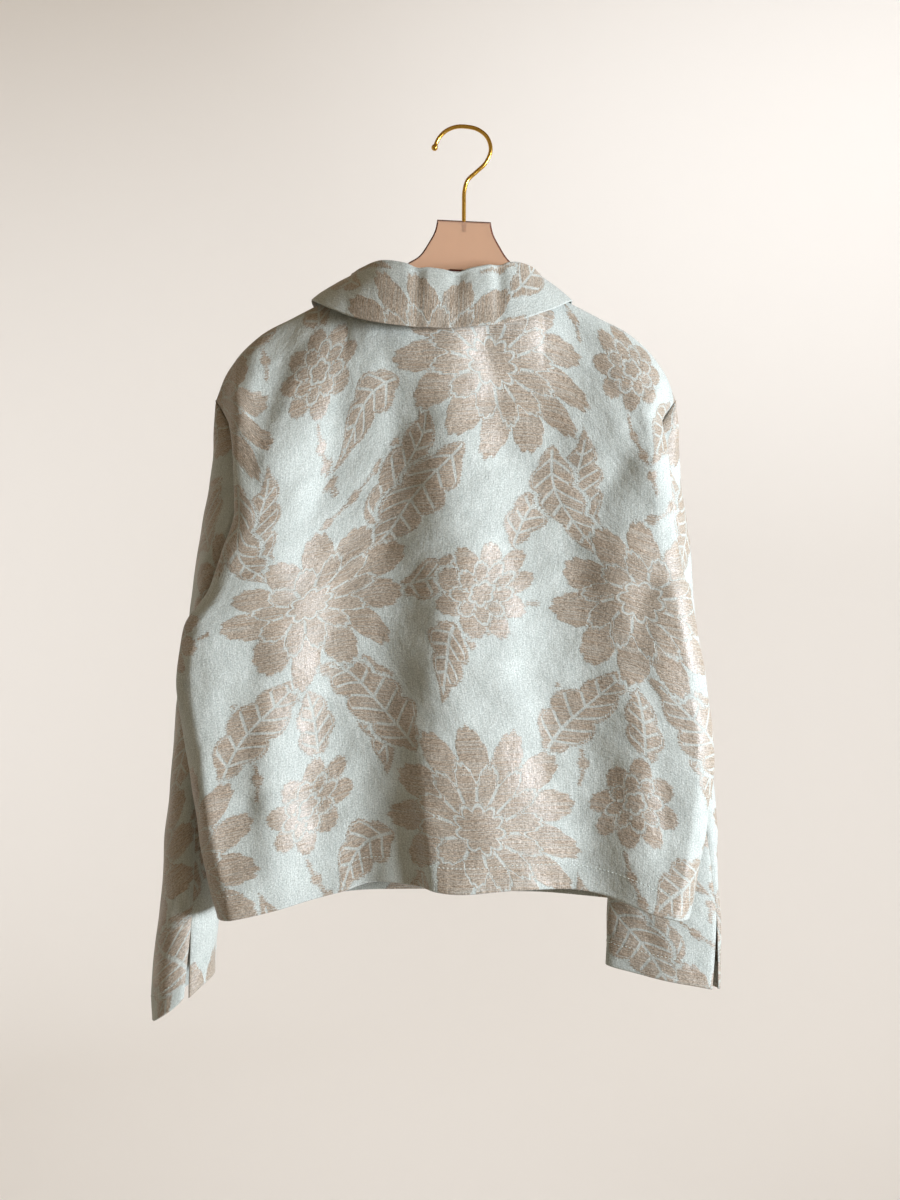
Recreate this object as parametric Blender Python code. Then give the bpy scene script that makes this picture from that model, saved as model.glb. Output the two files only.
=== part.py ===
"""Cropped collared jacket hanging, buttoned, on a flat acrylic hanger.

The origin is the point where the hook rests, +Z is up, the jacket's front faces -Y and the
wearer's left is +X. Every length in the tables is in millimetres, and MM turns it into metres.
"""

import math
from collections import namedtuple

import bpy
import numpy as np

MM = 0.001

# Cloth and seams
CLOTH = 1.5
SEAM_GAP = 0.3
SLEEVE_GAP = 0.8
COLLAR_GAP = 0.8

# Numbers of faces along and across the panels
ARMHOLE_ROWS = 8
SIDE_ROWS = 12
SHOULDER_COLUMNS = 12
BACK_NECK_COLUMNS = 20
FRONT_NECK_COLUMNS = 8
SLEEVE_ROWS = 16
STAND_ROWS = 2
ROLL_ROWS = 3
FALL_ROWS = 4
CURVE_STEPS = 200

# Body: middle line, levels along its two sides, and the roof over the hanger's arms
BODY_MIDDLE = 17.0
SHOULDER_TIP_Z = -284.0
UNDERARM_Z = -484.0
SIDE_HEM_Z = -820.0
BACK_ROOF_DROP = 140.0
BACK_ROOF_POWER = 1.6
FRONT_ROOF_DROP = 60.0
FRONT_ROOF_POWER = 2.4
SEAM_CALM = 0.1
HEM_POWER = 3
FOLD_GROWTH = 1.5
FLANK_POWER = 2.6
CORNER_IN = 20.0
CORNER_BACK = 5.0
FRONT_CORNER_IN = 22.0
FRONT_CORNER_BACK = 4.0

# Neck opening: an oval hole that is deeper at the front than at the back
NECK_MIDDLE = 17.0
NECK_HALF_WIDTH = 100.0
NECK_SHOULDER_Z = -168.0
NECK_BACK_DEPTH = 44.0
NECK_BACK_DROP = 18.0
NECK_FRONT_DEPTH = -28.0
NECK_FRONT_DROP = 44.0
NECK_POWER = 1.1

# Front closing: the right front lies over the left one
FRONT_LAP = 14.0
LAP_RISE = 2.6
LAP_START = 45.0
LAP_BLEND = 28.0

# Collar: width of the rolled edge, and the angle from the centre front where each end stops
ROLL_WIDTH = 6.0
COLLAR_END_ANGLE = 12.0
COLLAR_LEAN = 4.0

# Buttons
BUTTON_COUNT = 5
BUTTON_RADIUS = 9.0
BUTTON_THICK = 3.0
BUTTON_GAP = 0.6
BUTTON_SIDES = 12
BUTTON_EDGE = 1.0
BUTTON_RIM = 3.0
BUTTON_WELL = 0.6
BUTTON_TOP_V = 0.06
BUTTON_BOTTOM_V = 0.9

# Hanger plate and hook
PLATE_MIDDLE = -2.0
PLATE_THICK = 6.0
PLATE_TILT = math.radians(2.75)
WIRE_RADIUS = 2.1
TIP_RADIUS = 3.4
BALL_RINGS = 6
BALL_START = 0.2
BALL_END = 2.3
BORE_RADIUS = 2.5
BORE_DEPTH = 11.5
WIRE_SIDES = 8
WIRE_STEP = 6.0

# Sections of the body, top to bottom. The seam columns are the armhole's edge down to the
# underarm and the side seam below it; the edge columns are the widest line seen from behind.
Section = namedtuple(
    "Section", "z seam_left edge_left edge_right seam_right seam_back edge_depth back seam_front front"
)
SECTIONS = (
    Section(-284, 258, 250, -216, -224, 9, 18, 46, -8, -20),
    Section(-311, 242, 241, -207, -206, 15, 28, 50, -11, -22),
    Section(-342, 230, 234, -210, -197, 20, 34, 53, -14, -24),
    Section(-400, 220, 232, -214, -188, 24, 40, 57, -17, -25),
    Section(-440, 222, 243, -219, -188, 20, 41, 60, -14, -25),
    Section(-470, 225, 253, -225, -189, 12, 42, 61, -8, -25),
    Section(-484, 226, 259, -229, -189, 2, 42, 62, 2, -25),
    Section(-520, 224, 283, -237, -187, 2, 42, 63, 2, -25),
    Section(-568, 226, 291, -246, -192, 2, 42, 64, 2, -25),
    Section(-650, 232, 280, -254, -204, 2, 38, 64, 2, -24),
    Section(-730, 236, 269, -248, -213, 2, 34, 63, 2, -22),
    Section(-793, 237, 255, -237, -214, 2, 30, 61, 2, -20),
    Section(-830, 236, 248, -230, -212, 2, 28, 60, 2, -20),
)

# Shoulder seam: distance out from the body's middle line, and level
Shoulder = namedtuple("Shoulder", "out z")
SHOULDERS = (
    Shoulder(60, -156),
    Shoulder(100, -168),
    Shoulder(117, -175),
    Shoulder(134, -183.5),
    Shoulder(160, -197),
    Shoulder(197, -218),
    Shoulder(221, -243),
    Shoulder(233, -262),
    Shoulder(241, -284),
)

# Hem level across the back and across the front
Hem = namedtuple("Hem", "x back front")
HEMS = (
    Hem(-240, -820, -820),
    Hem(-188, -808, -812),
    Hem(-144, -793, -806),
    Hem(-58, -785, -800),
    Hem(10, -787, -798),
    Hem(46, -783, -798),
    Hem(86, -781, -798),
    Hem(121, -792, -800),
    Hem(160, -800, -804),
    Hem(208, -810, -810),
    Hem(260, -820, -820),
)

# Hanging folds of the back: troughs that run from a top point to a bottom point. Left and right
# are the half widths of the trough's two flanks, fade is how softly its ends die away.
Fold = namedtuple("Fold", "name x_top z_top x_bottom z_bottom depth_top depth_bottom left right fade")
FOLDS = (
    Fold("centre", 94, -290, 115, -790, 28, 38, 66, 62, 60),
    Fold("crease", 62, -600, 46, -790, 0, 16, 24, 10, 60),
    Fold("right", -78, -235, -124, -790, 18, 22, 80, 52, 50),
    Fold("left_drag", 191, -250, 224, -370, 6, 6, 18, 18, 40),
    Fold("left_side", 222, -520, 228, -740, 6, 6, 24, 22, 50),
)

# Sleeve rings: outer is the widest line seen from behind, depth is the ring's centre in Y,
# thin and long are its half widths across and along, turn is its twist in degrees.
Ring = namedtuple("Ring", "z outer thin long depth turn")
LEFT_RINGS = (
    Ring(-284, 258, 28, 40, 0, 0),
    Ring(-335, 264, 27, 50, -14, 0),
    Ring(-395, 274, 26, 56, -30, 0),
    Ring(-470, 286, 25, 64, -42, 0),
    Ring(-538, 297, 24, 64, -52, 0),
    Ring(-598, 305, 25, 62, -52, 0),
    Ring(-695, 313, 27, 58, -46, 0),
    Ring(-790, 320, 30, 53, -39, 0),
    Ring(-890, 331, 33, 50, -38, 0),
    Ring(-945, 333, 33, 49, -38, 0),
)
RIGHT_RINGS = (
    Ring(-280, 224, 24, 40, 0, 0),
    Ring(-335, 230, 24, 50, -16, 0),
    Ring(-395, 238, 23, 56, -32, 0),
    Ring(-461, 245, 23, 62, -44, 0),
    Ring(-514, 251, 23, 64, -52, 0),
    Ring(-567, 258, 24, 64, -57, 4),
    Ring(-643, 265, 28, 58, -64, 20),
    Ring(-731, 275, 29, 53, -72, 48),
    Ring(-790, 279, 24, 58, -72, 72),
    Ring(-850, 284, 16, 62, -68, 84),
    Ring(-930, 283, 15, 63, -66, 86),
)

# Sleeves: side is +1 on the wearer's left; the cuff's bottom edge slants by slant towards the
# angle slant_to, counted from outside over the back; the vent opens by vent_open degrees.
Sleeve = namedtuple("Sleeve", "name side rings cuff_z slant slant_to vent_column vent_rows vent_open")
SLEEVES = (
    Sleeve("sleeve_left", 1, LEFT_RINGS, -916, 24, 0, 5, 4, 5),
    Sleeve("sleeve_right", -1, RIGHT_RINGS, -905, 12, 90, 5, 3, 9),
)
SLEEVE_REACH = 0.3
SLEEVE_SPACING_POWER = 1.5

# Collar stations from centre back (0 degrees) to centre front (180): where the roll and the
# outer edge lie from the neck seam, outwards and up; spread pulls the point sideways.
Station = namedtuple("Station", "angle roll_out roll_up edge_out edge_up spread")
STATIONS = (
    Station(0, -4, 30, 13, -34, 0),
    Station(45, -4, 31, 22, -30, 0),
    Station(67, -5, 23, 27, -22, 0),
    Station(90, -3, 14, 36, -13, 0),
    Station(101, 1, 13, 38, -15, 0),
    Station(112, 4, 12, 40, -22, 0),
    Station(135, 5, 12, 40, -40, 4),
    Station(158, 5, 11, 34, -52, 16),
    Station(180, 5, 9, 24, -54, 34),
)

# Hanger plate, right half from the top edge out along the arm and back along its lower edge
PlatePoint = namedtuple("PlatePoint", "out z")
PLATE_OUTLINE = (
    PlatePoint(28, -96.5),
    PlatePoint(30, -107),
    PlatePoint(37, -121),
    PlatePoint(48, -136.5),
    PlatePoint(58, -143),
    PlatePoint(65, -149),
    PlatePoint(72, -160),
    PlatePoint(83, -177),
    PlatePoint(98, -181),
    PlatePoint(115, -186),
    PlatePoint(141, -197),
    PlatePoint(176, -216),
    PlatePoint(189, -229),
    PlatePoint(193, -239),
    PlatePoint(188, -247),
    PlatePoint(176, -247),
    PlatePoint(140, -229),
    PlatePoint(100, -210),
    PlatePoint(62, -184),
    PlatePoint(34, -158),
    PlatePoint(14, -149.5),
)

# Wire of the hook, from its ball tip over the top and down the shaft
HookPoint = namedtuple("HookPoint", "x z")
HOOK_PATH = (
    HookPoint(28.7, -19.4),
    HookPoint(25.2, -11.0),
    HookPoint(17.0, -2.2),
    HookPoint(7.4, 2.0),
    HookPoint(-5.0, 2.4),
    HookPoint(-16.7, -0.6),
    HookPoint(-26.1, -8.4),
    HookPoint(-30.0, -21.5),
    HookPoint(-25.0, -35.0),
    HookPoint(-14.0, -45.8),
    HookPoint(-5.4, -54.3),
    HookPoint(-2.6, -64.0),
    HookPoint(-2.0, -80.0),
)

# Colours of the materials: linear red, green and blue, roughness, metallic
CLOTH_LOOK = ((0.42, 0.43, 0.36), 0.85, 0.0)
BUTTON_LOOK = ((0.35, 0.33, 0.27), 0.4, 0.0)
PLATE_LOOK = ((0.55, 0.36, 0.27), 0.15, 0.0)
BRASS_LOOK = ((0.78, 0.52, 0.16), 0.25, 1.0)


def column_of(table, field):
    """One named column of a table, as an array."""
    return np.array([getattr(row, field) for row in table], dtype=float)


def smooth(at, places, values, steady=False):
    """A smooth curve through values at ascending places; a steady one never swings past them."""
    at = np.clip(at, places[0], places[-1])
    steps = np.diff(places)
    slopes = np.diff(values) / steps
    tangents = np.empty_like(values)
    tangents[0] = slopes[0]
    tangents[-1] = slopes[-1]
    tangents[1:-1] = (slopes[:-1] * steps[1:] + slopes[1:] * steps[:-1]) / (steps[:-1] + steps[1:])
    if steady:
        least = 2 * np.minimum(np.abs(slopes[:-1]), np.abs(slopes[1:]))
        same_way = slopes[:-1] * slopes[1:] > 0
        tangents[1:-1] = np.where(same_way, np.clip(tangents[1:-1], -least, least), 0.0)
    k = np.clip(np.searchsorted(places, at, side="right") - 1, 0, len(steps) - 1)
    h = steps[k]
    t = (at - places[k]) / h
    start = (1 + 2 * t) * (1 - t) ** 2 * values[k] + t * (1 - t) ** 2 * h * tangents[k]
    end = t * t * (3 - 2 * t) * values[k + 1] + t * t * (t - 1) * h * tangents[k + 1]
    return start + end


def at_level(table, field, z):
    """A named column of a table whose rows run down from the top, read at the levels z."""
    return smooth(-np.asarray(z, dtype=float), -column_of(table, "z"), column_of(table, field), True)


def ease(t):
    """Soft step from 0 to 1."""
    t = np.clip(t, 0.0, 1.0)
    return t * t * (3 - 2 * t)


def even_curve(points, shares, steady=False):
    """Points at the given shares of the length of a smooth curve through a few points."""
    points = np.asarray(points, dtype=float)
    along = np.concatenate(([0.0], np.cumsum(np.linalg.norm(np.diff(points, axis=0), axis=1))))
    fine = np.linspace(0.0, along[-1], CURVE_STEPS)
    dense = np.stack([smooth(fine, along, points[:, k], steady) for k in range(points.shape[1])], axis=1)
    length = np.concatenate(([0.0], np.cumsum(np.linalg.norm(np.diff(dense, axis=0), axis=1))))
    wanted = np.asarray(shares) * length[-1]
    return np.stack([np.interp(wanted, length, dense[:, axis]) for axis in range(points.shape[1])], axis=1)


def back_section(z, shares):
    """X and Y across the back at level z, from the wearer's left seam to the right one."""
    values = {field: float(at_level(SECTIONS, field, z)) for field in Section._fields[1:]}
    control = (
        (values["seam_left"], values["seam_back"]),
        (values["edge_left"], values["edge_depth"]),
        (values["edge_left"] - CORNER_IN, values["back"] - CORNER_BACK),
        (BODY_MIDDLE, values["back"]),
        (values["edge_right"] + CORNER_IN, values["back"] - CORNER_BACK),
        (values["edge_right"], values["edge_depth"]),
        (values["seam_right"], values["seam_back"]),
    )
    return even_curve(control, shares, True)


def front_section(z, shares):
    """X and Y across the front at level z, from the wearer's left seam to the right one."""
    values = {field: float(at_level(SECTIONS, field, z)) for field in Section._fields[1:]}
    control = (
        (values["seam_left"], values["seam_front"]),
        (values["seam_left"] - FRONT_CORNER_IN, values["front"] + FRONT_CORNER_BACK),
        (BODY_MIDDLE, values["front"]),
        (values["seam_right"] + FRONT_CORNER_IN, values["front"] + FRONT_CORNER_BACK),
        (values["seam_right"], values["seam_front"]),
    )
    return even_curve(control, shares, True)


def row_levels():
    """Levels of the panel rows along the armhole and the side seam."""
    down = (1 - np.cos(np.linspace(0.0, math.pi, ARMHOLE_ROWS + 1))) / 2
    armhole = SHOULDER_TIP_Z + (UNDERARM_Z - SHOULDER_TIP_Z) * down
    side = np.linspace(UNDERARM_Z, SIDE_HEM_Z, SIDE_ROWS + 1)
    return np.concatenate((armhole, side[1:]))


def neck_share(x):
    """How far a point of the neck line lies in from the shoulder points: 0 there, 1 at the middle."""
    across = np.clip((x - NECK_MIDDLE) / NECK_HALF_WIDTH, -1.0, 1.0)
    return np.sqrt(1.0 - across**2) ** NECK_POWER


def top_edge(x, at_back):
    """Level and depth of a panel's top edge: the shoulder seam, then the neck line."""
    share = neck_share(x)
    drop = NECK_BACK_DROP if at_back else NECK_FRONT_DROP
    depth = NECK_BACK_DEPTH if at_back else NECK_FRONT_DEPTH
    shoulder = smooth(np.abs(x - BODY_MIDDLE), column_of(SHOULDERS, "out"), column_of(SHOULDERS, "z"))
    in_neck = np.abs(x - NECK_MIDDLE) < NECK_HALF_WIDTH - 1e-6
    return np.where(in_neck, NECK_SHOULDER_Z - drop * share, shoulder), depth * share


def fold_depth(x, z):
    """How deep the hanging folds push the back in at a point."""
    total = np.zeros(np.shape(x))
    for fold in FOLDS:
        down = np.clip((fold.z_top - z) / (fold.z_top - fold.z_bottom), 0.0, 1.0)
        middle = fold.x_top + (fold.x_bottom - fold.x_top) * down
        depth = fold.depth_top + (fold.depth_bottom - fold.depth_top) * down**FOLD_GROWTH
        ends = ease((fold.z_top + fold.fade - z) / (2 * fold.fade))
        ends = ends * ease((z - fold.z_bottom + fold.fade) / fold.fade)
        width = np.where(x > middle, fold.left, fold.right)
        total = total + depth * ends * np.exp(-(np.abs((x - middle) / width) ** FLANK_POWER))
    return total


def neck_columns(count):
    """X of the neck line's points, from the wearer's left to the right."""
    return NECK_MIDDLE + NECK_HALF_WIDTH * np.cos(np.linspace(0.0, math.pi, count + 1))


def panel_shares(section, neck_x):
    """Shares across a panel: even steps over the shoulders, and a column at each neck point."""
    fine = np.linspace(0.0, 1.0, CURVE_STEPS)
    x_there = section(SHOULDER_TIP_Z, fine)[:, 0]
    neck = np.interp(-neck_x, -x_there, fine)
    left = np.linspace(0.0, neck[0], SHOULDER_COLUMNS + 1)
    right = np.linspace(neck[-1], 1.0, SHOULDER_COLUMNS + 1)
    return np.concatenate((left[:-1], neck, right[1:]))


def panel_points(section, shares, at_back):
    """Grid of a body panel's outer points, rows from the top edge to the hem."""
    levels = row_levels()
    down = (levels[0] - levels) / (levels[0] - levels[-1])
    top_section = section(SHOULDER_TIP_Z, shares)
    top_z, top_y = top_edge(top_section[:, 0], at_back)
    hem_section = section(SIDE_HEM_Z, shares)
    hem_places = column_of(HEMS, "x")
    hem_z = smooth(hem_section[:, 0], hem_places, column_of(HEMS, "back" if at_back else "front"))
    roof_drop = BACK_ROOF_DROP if at_back else FRONT_ROOF_DROP
    power = BACK_ROOF_POWER if at_back else FRONT_ROOF_POWER
    points = np.zeros((len(levels), len(shares), 3))
    for i, share in enumerate(shares):
        z = levels + (top_z[i] - levels[0]) * (1 - down) + (hem_z[i] - levels[-1]) * down**HEM_POWER
        flat = np.array([section(level, [share])[0] for level in np.minimum(z, SHOULDER_TIP_Z)])
        roof = (1 - (1 - np.clip((top_z[i] - z) / roof_drop, 0.0, 1.0)) ** power) ** (1 / power)
        depth = top_y[i] + (flat[:, 1] - top_y[i]) * roof
        if at_back:
            depth = depth - fold_depth(flat[:, 0], z) * ease(min(share, 1 - share) / SEAM_CALM)
        points[:, i] = np.stack((flat[:, 0], depth, z), axis=1)
    return points


def grid_faces(ids, flip=False):
    """Quads of a grid of point numbers, in the order that faces them outwards."""
    faces = []
    for upper, lower in zip(ids[:-1], ids[1:]):
        for i in range(len(upper) - 1):
            face = (upper[i], lower[i], lower[i + 1], upper[i + 1])
            faces.append(face[::-1] if flip else face)
    return faces


def point_normals(points, faces):
    """Unit normal at each point, from the faces round it."""
    normals = np.zeros_like(points)
    for face in faces:
        corners = points[list(face)]
        across = np.cross(corners[2] - corners[0], corners[3] - corners[1])
        for k in face:
            normals[k] += across
    return normals / np.linalg.norm(normals, axis=1)[:, None]


def add_object(name, points, faces, look):
    """Mesh object in the scene, from points in millimetres, with its own material."""
    mesh = bpy.data.meshes.new(name)
    mesh.from_pydata([tuple(p) for p in np.asarray(points) * MM], [], faces)
    mesh.validate()
    mesh.shade_smooth()
    mesh.set_sharp_from_angle(angle=math.radians(40))
    obj = bpy.data.objects.new(name, mesh)
    bpy.context.scene.collection.objects.link(obj)
    colour, roughness, metallic = look
    material = bpy.data.materials.new(name)
    material.use_nodes = True
    shader = material.node_tree.nodes["Principled BSDF"]
    shader.inputs["Base Color"].default_value = (*colour, 1.0)
    shader.inputs["Roughness"].default_value = roughness
    shader.inputs["Metallic"].default_value = metallic
    mesh.materials.append(material)
    return obj


def add_wall(name, points, faces, normals, look):
    """Closed cloth wall: the outer points, the same points a cloth's thickness in, and rims."""
    count = len(points)
    inner = points - CLOTH * normals
    edges = {(face[k], face[(k + 1) % 4]) for face in faces for k in range(4)}
    outer = []
    for a, b, c, d in faces:
        if np.linalg.norm(points[a] - points[c]) < np.linalg.norm(points[b] - points[d]):
            outer += [(a, b, c), (a, c, d)]
        else:
            outer += [(a, b, d), (b, c, d)]
    solid = outer + [tuple(k + count for k in face[::-1]) for face in outer]
    for a, b in sorted(edges):
        if (b, a) not in edges:
            solid.append((b, a, a + count, b + count))
    return add_object(name, np.concatenate((points, inner)), solid, look)


def add_panel(name, grid, at_back, seam_columns):
    """One body panel, pulled back from its shoulder seams and side seams by half the seam gap."""
    rows, columns = grid.shape[:2]
    points = grid.reshape(-1, 3).copy()
    ids = [[j * columns + i for i in range(columns)] for j in range(rows)]
    faces = grid_faces(ids, flip=not at_back)
    normals = point_normals(points, faces)
    pull = SEAM_GAP / 2 if at_back else -SEAM_GAP / 2
    on_shoulder = np.abs(points[:columns, 0] - NECK_MIDDLE) > NECK_HALF_WIDTH - 0.01
    for k in np.flatnonzero(on_shoulder):
        normals[k, 1] = 0.0
        points[k, 1] += pull
    for i, side in seam_columns:
        for j in range(ARMHOLE_ROWS, rows):
            normals[ids[j][i]] = (side, 0.0, 0.0)
            points[ids[j][i], 1] += pull
    normals /= np.linalg.norm(normals, axis=1)[:, None]
    return add_wall(name, points, faces, normals, CLOTH_LOOK)


def lapped_front(grid, side):
    """One front from the front grid: its own half, run past the middle by the lap."""
    middle = int(np.argmin(np.abs(grid[0, :, 0] - NECK_MIDDLE)))
    half = grid[:, : middle + 1] if side > 0 else grid[:, middle:][:, ::-1]
    lap = half[:, -1].copy()
    lap[:, 0] -= side * FRONT_LAP
    half = np.concatenate((half, lap[:, None]), axis=1)
    if side < 0:
        to_middle = np.abs(half[:, :, 0] - half[:, -2:-1, 0])
        to_middle[:, -1] = 0.0
        half[:, :, 1] -= LAP_RISE * ease((LAP_START - to_middle) / LAP_BLEND)
        half = half[:, ::-1]
    return half


def ring_point(sleeve, z, angle):
    """Point of a sleeve's ring at level z; the angle runs from outside over the back."""
    values = {field: float(at_level(sleeve.rings, field, z)) for field in Ring._fields[1:]}
    turn = math.radians(values["turn"])
    wide = math.hypot(values["thin"] * math.cos(turn), values["long"] * math.sin(turn))
    out = values["thin"] * math.cos(angle)
    back = values["long"] * math.sin(angle)
    x = out * math.cos(turn) + back * math.sin(turn)
    y = back * math.cos(turn) - out * math.sin(turn)
    return np.array((sleeve.side * (values["outer"] - wide + x), values["depth"] + y, z))


def sleeve_column(sleeve, start, angle, bottom):
    """Points down one line of a sleeve, from the armhole to the cuff."""
    column = []
    for j in range(SLEEVE_ROWS + 1):
        share = (j / SLEEVE_ROWS) ** SLEEVE_SPACING_POWER
        z = start[2] + (bottom - start[2]) * share
        reach = min(share / SLEEVE_REACH, 1.0)
        leave = np.array((math.sqrt(reach * (2 - reach)), reach * (2 - reach), 0.0))
        point = start * (1 - leave) + ring_point(sleeve, z, angle) * leave
        point[2] = z
        column.append(point)
    return np.array(column)


def add_sleeve(sleeve, back_edge, front_edge):
    """Set-in sleeve hung from the armhole's loop, open at the cuff, with a vent."""
    loop = np.concatenate((back_edge, front_edge[-2:0:-1]))
    around = len(loop)
    vent_top = SLEEVE_ROWS - sleeve.vent_rows
    columns = []
    for step in range(around + 1):
        k = (sleeve.vent_column + step) % around
        angle = 2 * math.pi * k / around
        slant = sleeve.slant * math.cos(angle - math.radians(sleeve.slant_to))
        column = sleeve_column(sleeve, loop[k], angle, sleeve.cuff_z - slant)
        if step in (0, around):
            sign = 1 if step == 0 else -1
            for j in range(vent_top + 1, SLEEVE_ROWS + 1):
                opened = sleeve.vent_open * (j - vent_top) / sleeve.vent_rows
                column[j] = ring_point(sleeve, column[j, 2], angle + sign * math.radians(opened))
        columns.append(column)
    points = []
    ids = []
    for j in range(SLEEVE_ROWS + 1):
        row = []
        for step in range(around + 1):
            if step == around and j <= vent_top:
                row.append(row[0])
                continue
            row.append(len(points))
            points.append(columns[step][j])
        ids.append(row)
    points = np.array(points)
    faces = grid_faces(ids, flip=sleeve.side < 0)
    normals = point_normals(points, faces)
    for top, below in zip(ids[0][:-1], ids[1][:-1]):
        along = points[below] - points[top]
        points[top] += along / np.linalg.norm(along) * SLEEVE_GAP
    return add_wall(sleeve.name, points, faces, normals, CLOTH_LOOK)


def collar_profile(seam, outward, station, sign):
    """Points of the collar across one station, from the neck seam over the roll to the edge."""
    up = np.array((0.0, 0.0, 1.0))
    half = ROLL_WIDTH / 2
    roll = seam + outward * station["roll_out"] + up * station["roll_up"]
    edge = seam + outward * station["edge_out"] + up * station["edge_up"]
    edge[0] += sign * station["spread"] + COLLAR_LEAN
    stand = [seam + (roll - outward * half - seam) * t for t in np.linspace(0, 1, STAND_ROWS + 1)]
    turn = [
        roll - outward * half * math.cos(a) + up * half * math.sin(a)
        for a in np.linspace(0, math.pi, ROLL_ROWS + 1)[1:]
    ]
    top = roll + outward * half
    fall = [top + (edge - top) * t for t in np.linspace(0, 1, FALL_ROWS + 1)[1:]]
    return np.array(stand + turn + fall)


def neck_seam_points():
    """Neck line from the left centre front over the back to the right one, with its angles."""
    back_x = neck_columns(BACK_NECK_COLUMNS)
    front_x = neck_columns(2 * FRONT_NECK_COLUMNS)[1:FRONT_NECK_COLUMNS]
    rows = []
    for x, at_back in (
        [(x, False) for x in front_x[::-1]]
        + [(x, True) for x in back_x]
        + [(2 * NECK_MIDDLE - x, False) for x in front_x]
    ):
        z, y = top_edge(np.array([x]), at_back)
        across = math.degrees(math.asin(np.clip((x - NECK_MIDDLE) / NECK_HALF_WIDTH, -1, 1)))
        angle = abs(across) if at_back else 180 - abs(across)
        rows.append((np.array((x, y[0], min(z[0], NECK_SHOULDER_Z))), angle, 1 if x > NECK_MIDDLE else -1))
    return [row for row in rows if row[1] <= 180 - COLLAR_END_ANGLE]


def add_collar():
    """Turned-down collar: a stand on the neck seam, rolled over into the fall."""
    grid = []
    places = column_of(STATIONS, "angle")
    for seam, angle, sign in neck_seam_points():
        station = {f: float(smooth(angle, places, column_of(STATIONS, f))) for f in Station._fields[1:]}
        depth = NECK_BACK_DEPTH if seam[1] > 0 else -NECK_FRONT_DEPTH
        outward = np.array(((seam[0] - NECK_MIDDLE) / NECK_HALF_WIDTH**2, seam[1] / depth**2, 0.0))
        outward /= np.linalg.norm(outward)
        base = seam - outward * CLOTH / 2 + np.array((0.0, 0.0, COLLAR_GAP))
        grid.append(collar_profile(base, outward, station, sign))
    grid = np.array(grid)
    count, rows = grid.shape[:2]
    points = grid.reshape(-1, 3)
    ids = [[i * rows + j for j in range(rows)] for i in range(count)]
    faces = grid_faces(ids, flip=True)
    normals = point_normals(points, faces)
    normals[0::rows, 2] = 0.0
    normals /= np.linalg.norm(normals, axis=1)[:, None]
    return add_wall("collar", points + normals * CLOTH / 2, faces, normals, CLOTH_LOOK)


def add_buttons(front):
    """Row of round buttons on the lap of the right front, each on the panel's own surface."""
    column = front[:, 1]
    lengths = np.concatenate(([0.0], np.cumsum(np.linalg.norm(np.diff(column, axis=0), axis=1))))
    for number in range(BUTTON_COUNT):
        share = BUTTON_TOP_V + (BUTTON_BOTTOM_V - BUTTON_TOP_V) * number / (BUTTON_COUNT - 1)
        at = share * lengths[-1]
        centre = np.array([np.interp(at, lengths, column[:, axis]) for axis in range(3)])
        below = np.array([np.interp(at + BUTTON_RADIUS, lengths, column[:, axis]) for axis in range(3)])
        above = np.array([np.interp(at - BUTTON_RADIUS, lengths, column[:, axis]) for axis in range(3)])
        down = (below - above) / np.linalg.norm(below - above)
        across = np.array((1.0, 0.0, 0.0))
        out = np.cross(down, across)
        out = out if out[1] < 0 else -out
        profile = (
            (BUTTON_RADIUS - BUTTON_EDGE, BUTTON_GAP),
            (BUTTON_RADIUS, BUTTON_GAP + BUTTON_EDGE),
            (BUTTON_RADIUS, BUTTON_GAP + BUTTON_THICK - BUTTON_EDGE),
            (BUTTON_RADIUS - BUTTON_EDGE, BUTTON_GAP + BUTTON_THICK),
            (BUTTON_RADIUS - BUTTON_RIM, BUTTON_GAP + BUTTON_THICK - BUTTON_WELL),
        )
        points = []
        for radius, height in profile:
            for k in range(BUTTON_SIDES):
                angle = 2 * math.pi * k / BUTTON_SIDES
                ring = across * math.cos(angle) + down * math.sin(angle)
                points.append(centre + ring * radius + out * height)
        faces = []
        for level in range(len(profile) - 1):
            for k in range(BUTTON_SIDES):
                a = level * BUTTON_SIDES + k
                b = level * BUTTON_SIDES + (k + 1) % BUTTON_SIDES
                faces.append((a, b, b + BUTTON_SIDES, a + BUTTON_SIDES))
        last = (len(profile) - 1) * BUTTON_SIDES
        faces.append(tuple(range(BUTTON_SIDES))[::-1])
        faces.append(tuple(range(last, last + BUTTON_SIDES)))
        if np.cross(across, down) @ out < 0:
            faces = [face[::-1] for face in faces]
        add_object(f"button_{number + 1}", points, faces, BUTTON_LOOK)


def tilted(points):
    """The hanger's own outline, one arm a little higher than the other."""
    points = np.asarray(points, dtype=float)
    level = points[:, 1] + points[:, 0] * math.tan(PLATE_TILT)
    return np.stack((points[:, 0] + PLATE_MIDDLE, level), axis=1)


def add_prism(name, outline, half_depth, look):
    """Flat plate with the given outline in X and Z, centred on Y = 0."""
    count = len(outline)
    near = [(x, half_depth, z) for x, z in outline]
    far = [(x, -half_depth, z) for x, z in outline]
    faces = [tuple(range(count)), tuple(range(2 * count - 1, count - 1, -1))]
    for k in range(count):
        following = (k + 1) % count
        faces.append((following, k, k + count, following + count))
    return add_object(name, near + far, faces, look)


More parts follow.
